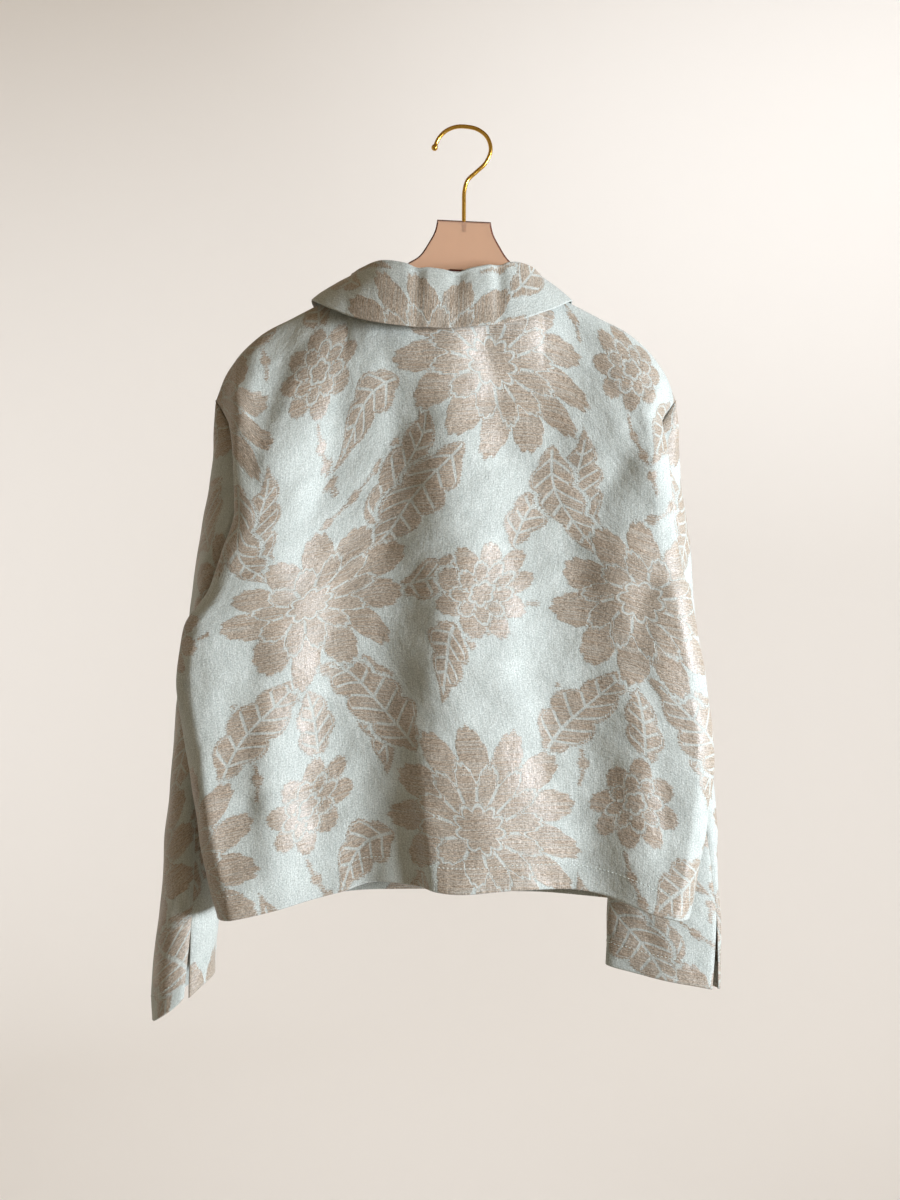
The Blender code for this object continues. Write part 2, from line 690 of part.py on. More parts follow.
def add_hanger():
    """Acrylic plate with a bore in its top edge, and the wire hook that stands in the bore."""
    right = [(p.out, p.z) for p in PLATE_OUTLINE]
    left = [(-p.out, p.z) for p in PLATE_OUTLINE[::-1]]
    plate = add_prism("hanger_plate", tilted(right + left)[::-1], PLATE_THICK / 2, PLATE_LOOK)
    top = float(tilted([(0.0, PLATE_OUTLINE[0].z)])[0, 1])
    shaft_end = top - BORE_DEPTH + SEAM_GAP
    path = [(p.x, 0.0, p.z) for p in HOOK_PATH] + [(PLATE_MIDDLE, 0.0, shaft_end)]
    bore = [(PLATE_MIDDLE, 0.0, top - BORE_DEPTH), (PLATE_MIDDLE, 0.0, top + BORE_DEPTH)]
    cutter = add_tube("bore", np.array(bore), np.full(2, BORE_RADIUS), PLATE_LOOK)
    cutter.hide_render = True
    cutter.display_type = "WIRE"
    cut = plate.modifiers.new("bore", "BOOLEAN")
    cut.operation = "DIFFERENCE"
    cut.object = cutter
    length = float(np.sum(np.linalg.norm(np.diff(np.array(path), axis=0), axis=1)))
    count = int(length / WIRE_STEP)
    along = even_curve(path, np.linspace(0.0, 1.0, count + 1))
    outward = (along[0] - along[1]) / np.linalg.norm(along[0] - along[1])
    turns = np.linspace(BALL_START, BALL_END, BALL_RINGS)
    ball = along[0] + TIP_RADIUS * np.cos(turns)[:, None] * outward
    path = np.concatenate((ball, along[1:]))
    radii = np.concatenate((TIP_RADIUS * np.sin(turns), np.full(count, WIRE_RADIUS)))
    add_tube("hanger_hook", path, radii, BRASS_LOOK)


def add_tube(name, path, radii, look):
    """Round bar along a path that lies in the plane Y = 0, with its own radius at each point."""
    count = len(path)
    points = []
    for k in range(count):
        along = path[min(k + 1, count - 1)] - path[max(k - 1, 0)]
        along /= np.linalg.norm(along)
        side = np.array((0.0, 1.0, 0.0))
        up = np.cross(along, side)
        for step in range(WIRE_SIDES):
            angle = 2 * math.pi * step / WIRE_SIDES
            points.append(path[k] + radii[k] * (side * math.cos(angle) + up * math.sin(angle)))
    faces = []
    for k in range(count - 1):
        for step in range(WIRE_SIDES):
            a = k * WIRE_SIDES + step
            b = k * WIRE_SIDES + (step + 1) % WIRE_SIDES
            faces.append((a, a + WIRE_SIDES, b + WIRE_SIDES, b))
    last = (count - 1) * WIRE_SIDES
    faces.append(tuple(range(WIRE_SIDES)))
    faces.append(tuple(range(last, last + WIRE_SIDES))[::-1])
    return add_object(name, points, [face[::-1] for face in faces], look)


def add_jacket():
    """Back, two lapped fronts with buttons, two sleeves and the collar."""
    back_neck = neck_columns(BACK_NECK_COLUMNS)
    front_neck = neck_columns(2 * FRONT_NECK_COLUMNS)
    back = panel_points(back_section, panel_shares(back_section, back_neck), True)
    front = panel_points(front_section, panel_shares(front_section, front_neck), False)
    add_panel("back", back, True, ((0, 1), (back.shape[1] - 1, -1)))
    left_front = lapped_front(front, 1)
    right_front = lapped_front(front, -1)
    add_panel("front_left", left_front, False, ((0, 1),))
    add_panel("front_right", right_front, False, ((right_front.shape[1] - 1, -1),))
    add_buttons(right_front)
    for sleeve in SLEEVES:
        edge = 0 if sleeve.side > 0 else -1
        rows = ARMHOLE_ROWS + 1
        add_sleeve(sleeve, back[:rows, edge], front[:rows, edge])
    add_collar()


for old in list(bpy.data.objects):
    bpy.data.objects.remove(old, do_unlink=True)
add_jacket()
add_hanger()
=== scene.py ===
"""Looks of a cropped collared jacket in linen jacquard, hanging on an acrylic hanger.

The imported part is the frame. Lengths in the tables are in millimetres in the frame's axes: the
jacket's front faces -Y, the wearer's left is +X and the hook rests at the origin.
"""

import math
from collections import namedtuple

import bmesh
import bpy
import numpy as np
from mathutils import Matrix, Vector


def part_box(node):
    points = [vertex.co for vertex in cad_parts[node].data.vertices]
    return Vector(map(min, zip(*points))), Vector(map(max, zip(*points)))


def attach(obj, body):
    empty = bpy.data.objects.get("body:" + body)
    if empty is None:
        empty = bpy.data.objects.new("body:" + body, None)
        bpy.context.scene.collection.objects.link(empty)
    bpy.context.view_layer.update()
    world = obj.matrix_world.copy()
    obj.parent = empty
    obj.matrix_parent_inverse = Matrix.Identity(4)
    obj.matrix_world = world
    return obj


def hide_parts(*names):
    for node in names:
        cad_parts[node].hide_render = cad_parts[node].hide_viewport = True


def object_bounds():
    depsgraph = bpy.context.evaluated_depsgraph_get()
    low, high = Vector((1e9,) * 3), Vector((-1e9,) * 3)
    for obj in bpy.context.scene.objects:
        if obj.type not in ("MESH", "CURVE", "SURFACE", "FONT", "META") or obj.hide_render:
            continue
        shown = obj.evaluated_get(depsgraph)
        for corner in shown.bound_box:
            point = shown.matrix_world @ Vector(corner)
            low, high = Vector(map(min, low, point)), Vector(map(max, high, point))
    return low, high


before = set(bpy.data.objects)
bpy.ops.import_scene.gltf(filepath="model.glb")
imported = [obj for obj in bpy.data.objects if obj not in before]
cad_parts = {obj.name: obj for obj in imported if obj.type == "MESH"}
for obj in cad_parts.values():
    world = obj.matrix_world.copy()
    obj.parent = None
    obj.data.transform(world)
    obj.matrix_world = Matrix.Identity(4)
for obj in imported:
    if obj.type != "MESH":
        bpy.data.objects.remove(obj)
CAD_LOW, CAD_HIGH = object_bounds()

bl_info = {
    "name": "Cropped jacket on a hanger",
    "version": (1, 0, 0),
    "blender": (4, 5, 0),
    "location": "3D View > Sidebar > Jacket",
    "description": "Dresses the packed jacket in woven cloth, thread, horn, acrylic and brass",
    "category": "Object",
}

MM = 0.001

# Rows and columns of faces in the cloth pieces, and steps of the curves and tables behind them
BACK_ROWS = 320
BACK_COLUMNS = 280
FRONT_ROWS = 240
FRONT_COLUMNS = 110
LAP_COLUMNS = 8
SLEEVE_ROWS = 240
SLEEVE_COLUMNS = 140
COLLAR_COLUMNS = 300
STAND_ROWS = 8
ROLL_ROWS = 10
FALL_ROWS = 44
FACING_STEP = 3
CURVE_STEPS = 240
TABLE_ROWS = 240
TINY = 1e-9

# Body: middle line, levels along its two sides, and the roof over the hanger's arms
BODY_MIDDLE = 17.0
SHOULDER_TIP_Z = -284.0
UNDERARM_Z = -484.0
SIDE_HEM_Z = -820.0
BACK_ROOF_DROP = 140.0
BACK_ROOF_POWER = 1.6
FRONT_ROOF_DROP = 60.0
FRONT_ROOF_POWER = 2.4
SEAM_CALM = 0.1
HEM_POWER = 3
FOLD_GROWTH = 1.5
FLANK_POWER = 2.6
CORNER_IN = 20.0
CORNER_BACK = 5.0
FRONT_CORNER_IN = 22.0
FRONT_CORNER_BACK = 4.0

# Neck opening: an oval hole that is deeper at the front than at the back
NECK_HALF_WIDTH = 100.0
NECK_SHOULDER_Z = -168.0
NECK_BACK_DEPTH = 44.0
NECK_BACK_DROP = 18.0
NECK_FRONT_DEPTH = -28.0
NECK_FRONT_DROP = 44.0
NECK_POWER = 1.1

# Front closing: the right front lies over the left one
FRONT_LAP = 14.0
LAP_RISE = 2.6
LAP_START = 45.0
LAP_BLEND = 28.0

# Collar
ROLL_WIDTH = 6.0
COLLAR_END_ANGLE = 12.0
COLLAR_LEAN = 4.0
COLLAR_GAP = 0.8
CLOTH = 1.5

# Hanger plate and hook
PLATE_MIDDLE = -2.0
PLATE_THICK = 6.0
PLATE_TILT = math.radians(2.75)
WIRE_RADIUS = 2.1
TIP_RADIUS = 3.4
BORE_RADIUS = 2.5
BORE_DEPTH = 11.5
SHAFT_GAP = 0.3
PLATE_STEPS = 150
PLATE_BEVEL = 1.6
PLATE_SHARP = math.radians(35)
WIRE_SIDES = 24
WIRE_STEPS = 150
BALL_START = 0.02
BALL_END = 2.4
BALL_STEPS = 16

# Buttons: a profile of shares of the radius and of the thickness, from the back to the well
BUTTON_COUNT = 5
BUTTON_RADIUS = 9.0
BUTTON_THICK = 3.0
BUTTON_SIDES = 48
BUTTON_WELL = 0.6
BUTTON_STITCH_GAP = 2.0
BUTTON_THREAD = 0.5
BUTTON_PROFILE = (
    (0.80, 0.0),
    (0.93, 0.06),
    (0.99, 0.3),
    (1.0, 0.55),
    (0.98, 0.8),
    (0.93, 0.96),
    (0.86, 1.0),
    (0.78, 0.98),
    (0.70, 0.86),
    (0.64, 0.8),
)

# Sections of the body, top to bottom. The seam columns are the armhole's edge down to the
# underarm and the side seam below it; the edge columns are the widest line seen from behind.
Section = namedtuple(
    "Section", "z seam_left edge_left edge_right seam_right seam_back edge_depth back seam_front front"
)
SECTIONS = (
    Section(-284, 258, 250, -216, -224, 9, 18, 46, -8, -20),
    Section(-311, 242, 241, -207, -206, 15, 28, 50, -11, -22),
    Section(-342, 230, 234, -210, -197, 20, 34, 53, -14, -24),
    Section(-400, 220, 232, -214, -188, 24, 40, 57, -17, -25),
    Section(-440, 222, 243, -219, -188, 20, 41, 60, -14, -25),
    Section(-470, 225, 253, -225, -189, 12, 42, 61, -8, -25),
    Section(-484, 226, 259, -229, -189, 2, 42, 62, 2, -25),
    Section(-520, 224, 283, -237, -187, 2, 42, 63, 2, -25),
    Section(-568, 226, 291, -246, -192, 2, 42, 64, 2, -25),
    Section(-650, 232, 280, -254, -204, 2, 38, 64, 2, -24),
    Section(-730, 236, 269, -248, -213, 2, 34, 63, 2, -22),
    Section(-793, 237, 255, -237, -214, 2, 30, 61, 2, -20),
    Section(-830, 236, 248, -230, -212, 2, 28, 60, 2, -20),
)

# Shoulder seam: distance out from the body's middle line, and level
Shoulder = namedtuple("Shoulder", "out z")
SHOULDERS = (
    Shoulder(60, -156),
    Shoulder(100, -168),
    Shoulder(117, -175),
    Shoulder(134, -183.5),
    Shoulder(160, -197),
    Shoulder(197, -218),
    Shoulder(221, -243),
    Shoulder(233, -262),
    Shoulder(241, -284),
)

# Hem level across the back and across the front
Hem = namedtuple("Hem", "x back front")
HEMS = (
    Hem(-240, -820, -820),
    Hem(-188, -808, -812),
    Hem(-144, -793, -806),
    Hem(-58, -785, -800),
    Hem(10, -787, -798),
    Hem(46, -783, -798),
    Hem(86, -781, -798),
    Hem(121, -792, -800),
    Hem(160, -800, -804),
    Hem(208, -810, -810),
    Hem(260, -820, -820),
)

# Hanging folds of the back: troughs that run from a top point to a bottom point. Left and right
# are the half widths of the trough's two flanks, fade is how softly its ends die away.
Fold = namedtuple("Fold", "name x_top z_top x_bottom z_bottom depth_top depth_bottom left right fade")
FOLDS = (
    Fold("centre", 94, -290, 115, -790, 28, 38, 66, 62, 60),
    Fold("crease", 62, -600, 46, -790, 0, 16, 24, 10, 60),
    Fold("right", -78, -235, -124, -790, 18, 22, 80, 52, 50),
    Fold("left_drag", 191, -250, 224, -370, 6, 6, 18, 18, 40),
    Fold("left_side", 222, -520, 228, -740, 6, 6, 24, 22, 50),
)

# Sleeve rings: outer is the widest line seen from behind, depth is the ring's centre in Y,
# thin and long are its half widths across and along, turn is its twist in degrees.
Ring = namedtuple("Ring", "z outer thin long depth turn")
LEFT_RINGS = (
    Ring(-284, 258, 28, 40, 0, 0),
    Ring(-335, 264, 27, 50, -14, 0),
    Ring(-395, 274, 26, 56, -30, 0),
    Ring(-470, 286, 25, 64, -42, 0),
    Ring(-538, 297, 24, 64, -52, 0),
    Ring(-598, 305, 25, 62, -52, 0),
    Ring(-695, 313, 27, 58, -46, 0),
    Ring(-790, 320, 30, 53, -39, 0),
    Ring(-890, 331, 33, 50, -38, 0),
    Ring(-945, 333, 33, 49, -38, 0),
)
RIGHT_RINGS = (
    Ring(-280, 224, 24, 40, 0, 0),
    Ring(-335, 230, 24, 50, -16, 0),
    Ring(-395, 238, 23, 56, -32, 0),
    Ring(-461, 245, 23, 62, -44, 0),
    Ring(-514, 251, 23, 64, -52, 0),
    Ring(-567, 258, 24, 64, -57, 4),
    Ring(-643, 265, 28, 58, -64, 20),
    Ring(-731, 275, 29, 53, -72, 48),
    Ring(-790, 279, 24, 58, -72, 72),
    Ring(-850, 284, 16, 62, -68, 84),
    Ring(-930, 283, 15, 63, -66, 86),
)

# Sleeves: side is +1 on the wearer's left; the cuff's bottom edge slants by slant towards the
# angle slant_to, counted from outside over the back; the vent opens by vent_open degrees.
Sleeve = namedtuple("Sleeve", "name side rings cuff_z slant slant_to vent_angle vent_share vent_open")
SLEEVES = (
    Sleeve("sleeve_left", 1, LEFT_RINGS, -916, 24, 0, 112.5, 0.17, 5),
    Sleeve("sleeve_right", -1, RIGHT_RINGS, -905, 12, 90, 112.5, 0.17, 9),
)
SLEEVE_REACH = 0.3

# Collar stations from centre back (0 degrees) to centre front (180): where the roll and the
# outer edge lie from the neck seam, outwards and up; spread pulls the point sideways.
Station = namedtuple("Station", "angle roll_out roll_up edge_out edge_up spread")
STATIONS = (
    Station(0, -4, 30, 13, -34, 0),
    Station(45, -4, 31, 22, -30, 0),
    Station(67, -5, 23, 27, -22, 0),
    Station(90, -3, 14, 36, -13, 0),
    Station(101, 1, 13, 38, -15, 0),
    Station(112, 4, 12, 40, -22, 0),
    Station(135, 5, 12, 40, -40, 4),
    Station(158, 5, 11, 34, -52, 16),
    Station(180, 5, 9, 24, -54, 34),
)

# Hanger plate, right half from the top edge out along the arm and back along its lower edge
PlatePoint = namedtuple("PlatePoint", "out z")
PLATE_OUTLINE = (
    PlatePoint(28, -96.5),
    PlatePoint(30, -107),
    PlatePoint(37, -121),
    PlatePoint(48, -136.5),
    PlatePoint(58, -143),
    PlatePoint(65, -149),
    PlatePoint(72, -160),
    PlatePoint(83, -177),
    PlatePoint(98, -181),
    PlatePoint(115, -186),
    PlatePoint(141, -197),
    PlatePoint(176, -216),
    PlatePoint(189, -229),
    PlatePoint(193, -239),
    PlatePoint(188, -247),
    PlatePoint(176, -247),
    PlatePoint(140, -229),
    PlatePoint(100, -210),
    PlatePoint(62, -184),
    PlatePoint(34, -158),
    PlatePoint(14, -149.5),
)

# Wire of the hook, from its ball tip over the top and down the shaft
HookPoint = namedtuple("HookPoint", "x z")
HOOK_PATH = (
    HookPoint(28.7, -19.4),
    HookPoint(25.2, -11.0),
    HookPoint(17.0, -2.2),
    HookPoint(7.4, 2.0),
    HookPoint(-5.0, 2.4),
    HookPoint(-16.7, -0.6),
    HookPoint(-26.1, -8.4),
    HookPoint(-30.0, -21.5),
    HookPoint(-25.0, -35.0),
    HookPoint(-14.0, -45.8),
    HookPoint(-5.4, -54.3),
    HookPoint(-2.6, -64.0),
    HookPoint(-2.0, -80.0),
)

# Soft creases by piece, in its flat cloth: u runs from the wearer's left to the right and v up
# from the hem. A positive depth is a trough and a negative one a ridge.
Crease = namedtuple("Crease", "piece u_top v_top u_bottom v_bottom depth width")
CREASES = (
    Crease("back", -120, 560, -150, 430, 2.2, 15),
    Crease("back", -60, 590, -66, 470, 1.4, 12),
    Crease("back", 40, 600, 52, 440, 1.6, 14),
    Crease("back", 205, 520, 150, 410, 2.4, 14),
    Crease("back", 148, 575, 168, 430, 6.0, 36),
    Crease("back", -190, 300, -150, 90, 2.6, 24),
    Crease("back", 70, 300, 82, 20, -2.2, 22),
    Crease("back", 215, 330, 222, 60, 2.4, 15),
    Crease("back", -215, 110, -205, 4, 2.0, 14),
    Crease("back", -130, 120, -128, 4, -2.0, 16),
    Crease("back", 130, 110, 132, 4, 1.6, 16),
    Crease("front_left", 20, 520, 40, 300, 2.4, 18),
    Crease("front_left", -60, 480, -75, 140, 3.0, 24),
    Crease("front_left", 50, 240, 46, 10, 2.6, 20),
    Crease("front_right", -30, 520, -46, 300, 2.4, 18),
    Crease("front_right", 60, 470, 72, 130, 3.0, 24),
    Crease("front_right", -50, 230, -44, 10, 2.6, 20),
    Crease("sleeve_left", -70, 480, -30, 420, 3.0, 12),
    Crease("sleeve_left", -60, 350, 0, 330, 2.2, 10),
    Crease("sleeve_left", 30, 300, 80, 270, 2.4, 10),
    Crease("sleeve_left", -30, 240, -20, 40, 2.6, 14),
    Crease("sleeve_right", -70, 470, -20, 400, 3.0, 12),
    Crease("sleeve_right", -40, 340, 30, 310, 2.4, 10),
    Crease("sleeve_right", 20, 270, 70, 220, 2.6, 12),
    Crease("sleeve_right", -90, 220, -60, 40, 2.0, 12),
)

# Soft waves that loose linen keeps all over: direction in degrees, length and height
Wave = namedtuple("Wave", "heading length height phase")
WAVES = (
    Wave(8, 118, 0.9, 0.4),
    Wave(-14, 74, 0.6, 1.9),
    Wave(72, 143, 0.7, 0.8),
    Wave(35, 53, 0.35, 2.6),
    Wave(-48, 41, 0.25, 4.1),
)

# Flutes that run over the collar's roll at the back: X, depth and half width, and how far each
# one presses the fall in
Flute = namedtuple("Flute", "x depth width press")
FLUTES = (
    Flute(5, 5.0, 44, 1.5),
    Flute(46, 2.2, 7, 3.0),
    Flute(6, 2.6, 9, 3.0),
    Flute(-38, 2.8, 7, 3.4),
    Flute(84, -1.5, 18, -1.2),
    Flute(-70, -1.5, 14, -1.2),
    Flute(118, 2.0, 12, 1.6),
    Flute(-96, 2.2, 12, 1.8),
)
FLUTE_START = 0.13
FLUTE_TOP = 0.29
FLUTE_FADE = 0.5
FLUTE_RISE = 0.2
COLLAR_CALM = 0.6

# Seams, hems and facings: a seam's dip, the calm cloth beside it, what is folded inside, and the
# height of the hem's row of stitches
SEAM_DIP = 0.9
SEAM_DIP_WIDTH = 3.0
SEAM_QUIET = 40.0
SEAM_INSIDE = 8.0
SEAM_FOLD = 1.0
VENT_FACING = 16.0
HEM_DEPTH = 27.0
HEM_STITCHES = 25.0
HEM_FOLD = 2.0
FACING = 32.0
VENT_REACH = 40.0
COLLAR_UNDER = 14.0
COLLAR_FOLD = 1.5
COLLAR_BELLY = 2.0

# Sewing stitches: one every pitch, each a short spindle of thread sunk into the cloth
STITCH_PITCH = 4.4
STITCH_LENGTH = 3.2
STITCH_SIDES = 6
STITCH_RINGS = 5
STITCH_TIP = 0.04
STITCH_SINK = 0.5

# What a sheet is sewn from: the materials of its cloth and thread, and the thread's radius
Sewing = namedtuple("Sewing", "cloth thread radius")

# Grain of the materials, in millimetres, along and across where there are two
WEFT_MM = 1.2
SLUB_MM = 45.0
FIBRE_MM = 3.5
WARP_MM = 18.0
CLOUD_MM = (46.0, 30.0)
CRUMPLE_SPREAD_MM = (26.0, 22.0)
LINE_MM = 1.4
LINE_FADE_MM = 2.6
RAGGED_MM = 2.0
PEPPER_MM = 1.5
CRUMPLE_MM = 4.0
THREAD_MM = 0.35
THREAD_FLECK_MM = 0.8
HORN_CLOUD_MM = 7.0
RUBBING_MM = 3.0
DRAWING_MARK_MM = 1.5
ROLLER_MM = 4.0

# Places of the two colours among a mix node's inputs, and of the mixed colour among its outputs
MIX_FIRST = 6
MIX_SECOND = 7
MIX_RESULT = 2

# How much light passes through the acrylic's face, and along its cut edge, whose lower share goes with the
# edge's painted shade
FACE_TRANSMISSION = 0.55
EDGE_TRANSMISSION = 0.25

# Stage: places and sizes in metres of the lamps, the sky's colour and the camera's sensor
KEY_PLACE = (-2.8, 1.68, -0.45)
KEY_SIZE = 0.9
KEY_SPREAD = math.radians(60)
WALL_PLACE = (-0.7, -0.9, 1.7)
WALL_AIM = (-1.3, -4.0, -0.8)
WALL_SIZE = 2.4
WALL_SPREAD = math.radians(150)
SKY_COLOUR = (1.0, 0.70, 0.34)
SENSOR_MM = 36.0
SWEEP_STEPS = 16
FLOOR_SIDES = 96

# Floral repeat of the jacquard, drawn for this part: places and sizes in one repeat of cloth
REPEAT_U = 344.0
REPEAT_V = 476.0
Flower = namedtuple("Flower", "u v size petals turn")
FLOWERS = (
    Flower(0, 0, 102, 13, 0.2),
    Flower(172, 238, 94, 11, 0.7),
    Flower(158, 26, 46, 8, 0.1),
    Flower(6, 240, 52, 9, 0.5),
)
Leaf = namedtuple("Leaf", "u v length width heading bend lobes")
LEAVES = (
    Leaf(-70, 62, 142, 32, 122, 0.30, 4),
    Leaf(64, 72, 138, 30, 62, -0.30, 4),
    Leaf(-36, -92, 140, 33, -114, -0.30, 4),
    Leaf(58, -84, 126, 28, -72, 0.28, 4),
    Leaf(-98, -22, 96, 25, 196, 0.35, 3),
    Leaf(122, 306, 122, 28, 124, -0.35, 4),
    Leaf(226, 304, 128, 30, 56, 0.30, 4),
    Leaf(214, 158, 120, 28, -62, -0.30, 4),
    Leaf(256, 236, 92, 23, 4, 0.30, 3),
    Leaf(166, 66, 82, 21, 80, 0.40, 3),
    Leaf(28, 284, 88, 21, 70, -0.40, 3),
    Leaf(-22, 202, 84, 21, 236, 0.40, 3),
)
Stem = namedtuple("Stem", "u v length heading bend")
STEMS = (
    Stem(100, 48, 90, 78, 0.5),
    Stem(-100, -70, 100, 250, -0.5),
    Stem(66, 226, 84, 186, 0.4),
    Stem(150, -24, 80, 262, 0.5),
)

# Slow bends that keep the drawing from looking ruled: along u or v, size, length and phase
Drift = namedtuple("Drift", "moves_u size length phase")
DRIFTS = (
    Drift(True, 9.0, 290, 1.0),
    Drift(True, 4.0, 118, 2.2),
    Drift(False, 8.0, 330, 0.3),
    Drift(False, 4.0, 104, 1.4),
)

# Shares of a flower's size where each ring of petals starts, and how much further its tips reach
Petals = namedtuple("Petals", "root tip")
OUTER_PETALS = Petals(0.60, 0.36)
INNER_PETALS = Petals(0.36, 0.24)
HEART_PETALS = Petals(0.16, 0.09)
HEART_FEWER = 3
PETAL_ROUND = 0.7
TOOTH_HEIGHT = 0.05
TEETH_PER_PETAL = 2.5

# Leaves and stems: their lobes, veins and ribs, and the gaps that keep the drawing's lines apart
LOBE_DEPTH = 0.34
LOBE_STAGGER = 0.5
LOBE_ROUND = 0.6
LEAF_FULLNESS = 0.8
LEAF_MARGIN = 2.5
VEIN_END = 0.9
RIB_END = 0.86
RIB_SLANT = 1.1
LINE_CLEAR = 3.0
STEM_STEP = 3.0
STEM_HALF_WIDTH = 2.2
BERRY_RADIUS = 6.0
BERRY_STEP = 21.0
MOTIF_GAP = 4.5
FIELD_LIMIT = 9.0

# How far each piece's cloth is moved along the repeat, so that the pieces don't match up
Shift = namedtuple("Shift", "u v")
SHIFTS = {
    "back": Shift(-41, -70),
    "front_left": Shift(210, 40),
    "front_right": Shift(30, 130),
    "sleeve_left": Shift(120, 60),
    "sleeve_right": Shift(310, 300),
    "collar": Shift(32, 0),
}

# The cut of each sheet before sewing, hems and seams included
Cut = namedtuple("Cut", "width length area")


def column_of(table, field):
    """One named column of a table, as an array."""
    return np.array([getattr(row, field) for row in table], dtype=float)


def smooth(at, places, values, steady=False):
    """A smooth curve through values at ascending places; a steady one never swings past them."""
    at = np.clip(at, places[0], places[-1])
    steps = np.diff(places)
    slopes = np.diff(values) / steps
    tangents = np.empty_like(values)
    tangents[0] = slopes[0]
    tangents[-1] = slopes[-1]
    tangents[1:-1] = (slopes[:-1] * steps[1:] + slopes[1:] * steps[:-1]) / (steps[:-1] + steps[1:])
    if steady:
        least = 2 * np.minimum(np.abs(slopes[:-1]), np.abs(slopes[1:]))
        same_way = slopes[:-1] * slopes[1:] > 0
        tangents[1:-1] = np.where(same_way, np.clip(tangents[1:-1], -least, least), 0.0)
    k = np.clip(np.searchsorted(places, at, side="right") - 1, 0, len(steps) - 1)
    h = steps[k]
    t = (at - places[k]) / h
    start = (1 + 2 * t) * (1 - t) ** 2 * values[k] + t * (1 - t) ** 2 * h * tangents[k]
    end = t * t * (3 - 2 * t) * values[k + 1] + t * t * (t - 1) * h * tangents[k + 1]
    return start + end


def at_level(table, field, z):
    """A named column of a table whose rows run down from the top, read at the levels z."""
    return smooth(-np.asarray(z, dtype=float), -column_of(table, "z"), column_of(table, field), True)


def ease(t):
    """Soft step from 0 to 1."""
    t = np.clip(t, 0.0, 1.0)
    return t * t * (3 - 2 * t)


def unit(vectors):
    """Vectors of length one."""
    return vectors / np.maximum(np.linalg.norm(vectors, axis=-1, keepdims=True), TINY)


def path_lengths(points):
    """Length along a path from its first point to each of its points."""
    return np.concatenate(([0.0], np.cumsum(np.linalg.norm(np.diff(points, axis=0), axis=1))))


def on_path(points, lengths, at):
    """A path's values at places along it, between those at its points."""
    return np.stack([np.interp(at, lengths, values) for values in points.T], axis=-1)


def even_curve(points, shares, steady=False):
    """Points at the given shares of the length of a smooth curve through a few points."""
    points = np.asarray(points, dtype=float)
    along = path_lengths(points)
    fine = np.linspace(0.0, along[-1], CURVE_STEPS)
    dense = np.stack([smooth(fine, along, values, steady) for values in points.T], axis=1)
    lengths = path_lengths(dense)
    return on_path(dense, lengths, np.asarray(shares) * lengths[-1])


def section_table(at_back):
    """X and Y across the back or the fronts, for even steps of level and of share across."""
    rows = []
    shares = np.linspace(0.0, 1.0, CURVE_STEPS)
    for z in np.linspace(SHOULDER_TIP_Z, SECTIONS[-1].z, TABLE_ROWS):
        s = Section(z, *(float(at_level(SECTIONS, field, z)) for field in Section._fields[1:]))
        if at_back:
            control = (
                (s.seam_left, s.seam_back),
                (s.edge_left, s.edge_depth),
                (s.edge_left - CORNER_IN, s.back - CORNER_BACK),
                (BODY_MIDDLE, s.back),
                (s.edge_right + CORNER_IN, s.back - CORNER_BACK),
                (s.edge_right, s.edge_depth),
                (s.seam_right, s.seam_back),
            )
        else:
            control = (
                (s.seam_left, s.seam_front),
                (s.seam_left - FRONT_CORNER_IN, s.front + FRONT_CORNER_BACK),
                (BODY_MIDDLE, s.front),
                (s.seam_right + FRONT_CORNER_IN, s.front + FRONT_CORNER_BACK),
                (s.seam_right, s.seam_front),
            )
        rows.append(even_curve(control, shares, True))
    return np.array(rows)


def read_table(table, z, share):
    """A section table's X and Y at levels z and shares across, between its even steps."""
    rows, columns = table.shape[:2]
    down = (SHOULDER_TIP_Z - z) / (SHOULDER_TIP_Z - SECTIONS[-1].z)
    row = np.clip(down, 0.0, 1.0) * (rows - 1)
    column = np.clip(share, 0.0, 1.0) * (columns - 1)
    r = np.minimum(row.astype(int), rows - 2)
    c = np.minimum(column.astype(int), columns - 2)
    a = (row - r)[..., None]
    b = (column - c)[..., None]
    upper = table[r, c] * (1 - b) + table[r, c + 1] * b
    lower = table[r + 1, c] * (1 - b) + table[r + 1, c + 1] * b
    return upper * (1 - a) + lower * a


def top_edge(x, at_back):
    """Level and depth of a panel's top edge: the shoulder seam, then the neck line."""
    across = np.clip((x - BODY_MIDDLE) / NECK_HALF_WIDTH, -1.0, 1.0)
    share = np.sqrt(1.0 - across**2) ** NECK_POWER
    drop = NECK_BACK_DROP if at_back else NECK_FRONT_DROP
    depth = NECK_BACK_DEPTH if at_back else NECK_FRONT_DEPTH
    shoulder = smooth(np.abs(x - BODY_MIDDLE), column_of(SHOULDERS, "out"), column_of(SHOULDERS, "z"))
    in_neck = np.abs(x - BODY_MIDDLE) < NECK_HALF_WIDTH
    return np.where(in_neck, NECK_SHOULDER_Z - drop * share, shoulder), depth * share


def fold_depth(x, z):
    """How deep the hanging folds push the back in at a point."""
    total = np.zeros(np.shape(x))
    for fold in FOLDS:
        down = np.clip((fold.z_top - z) / (fold.z_top - fold.z_bottom), 0.0, 1.0)
        middle = fold.x_top + (fold.x_bottom - fold.x_top) * down
        depth = fold.depth_top + (fold.depth_bottom - fold.depth_top) * down**FOLD_GROWTH
        ends = ease((fold.z_top + fold.fade - z) / (2 * fold.fade))
        ends = ends * ease((z - fold.z_bottom + fold.fade) / fold.fade)
        width = np.where(x > middle, fold.left, fold.right)
        total = total + depth * ends * np.exp(-(np.abs((x - middle) / width) ** FLANK_POWER))
    return total


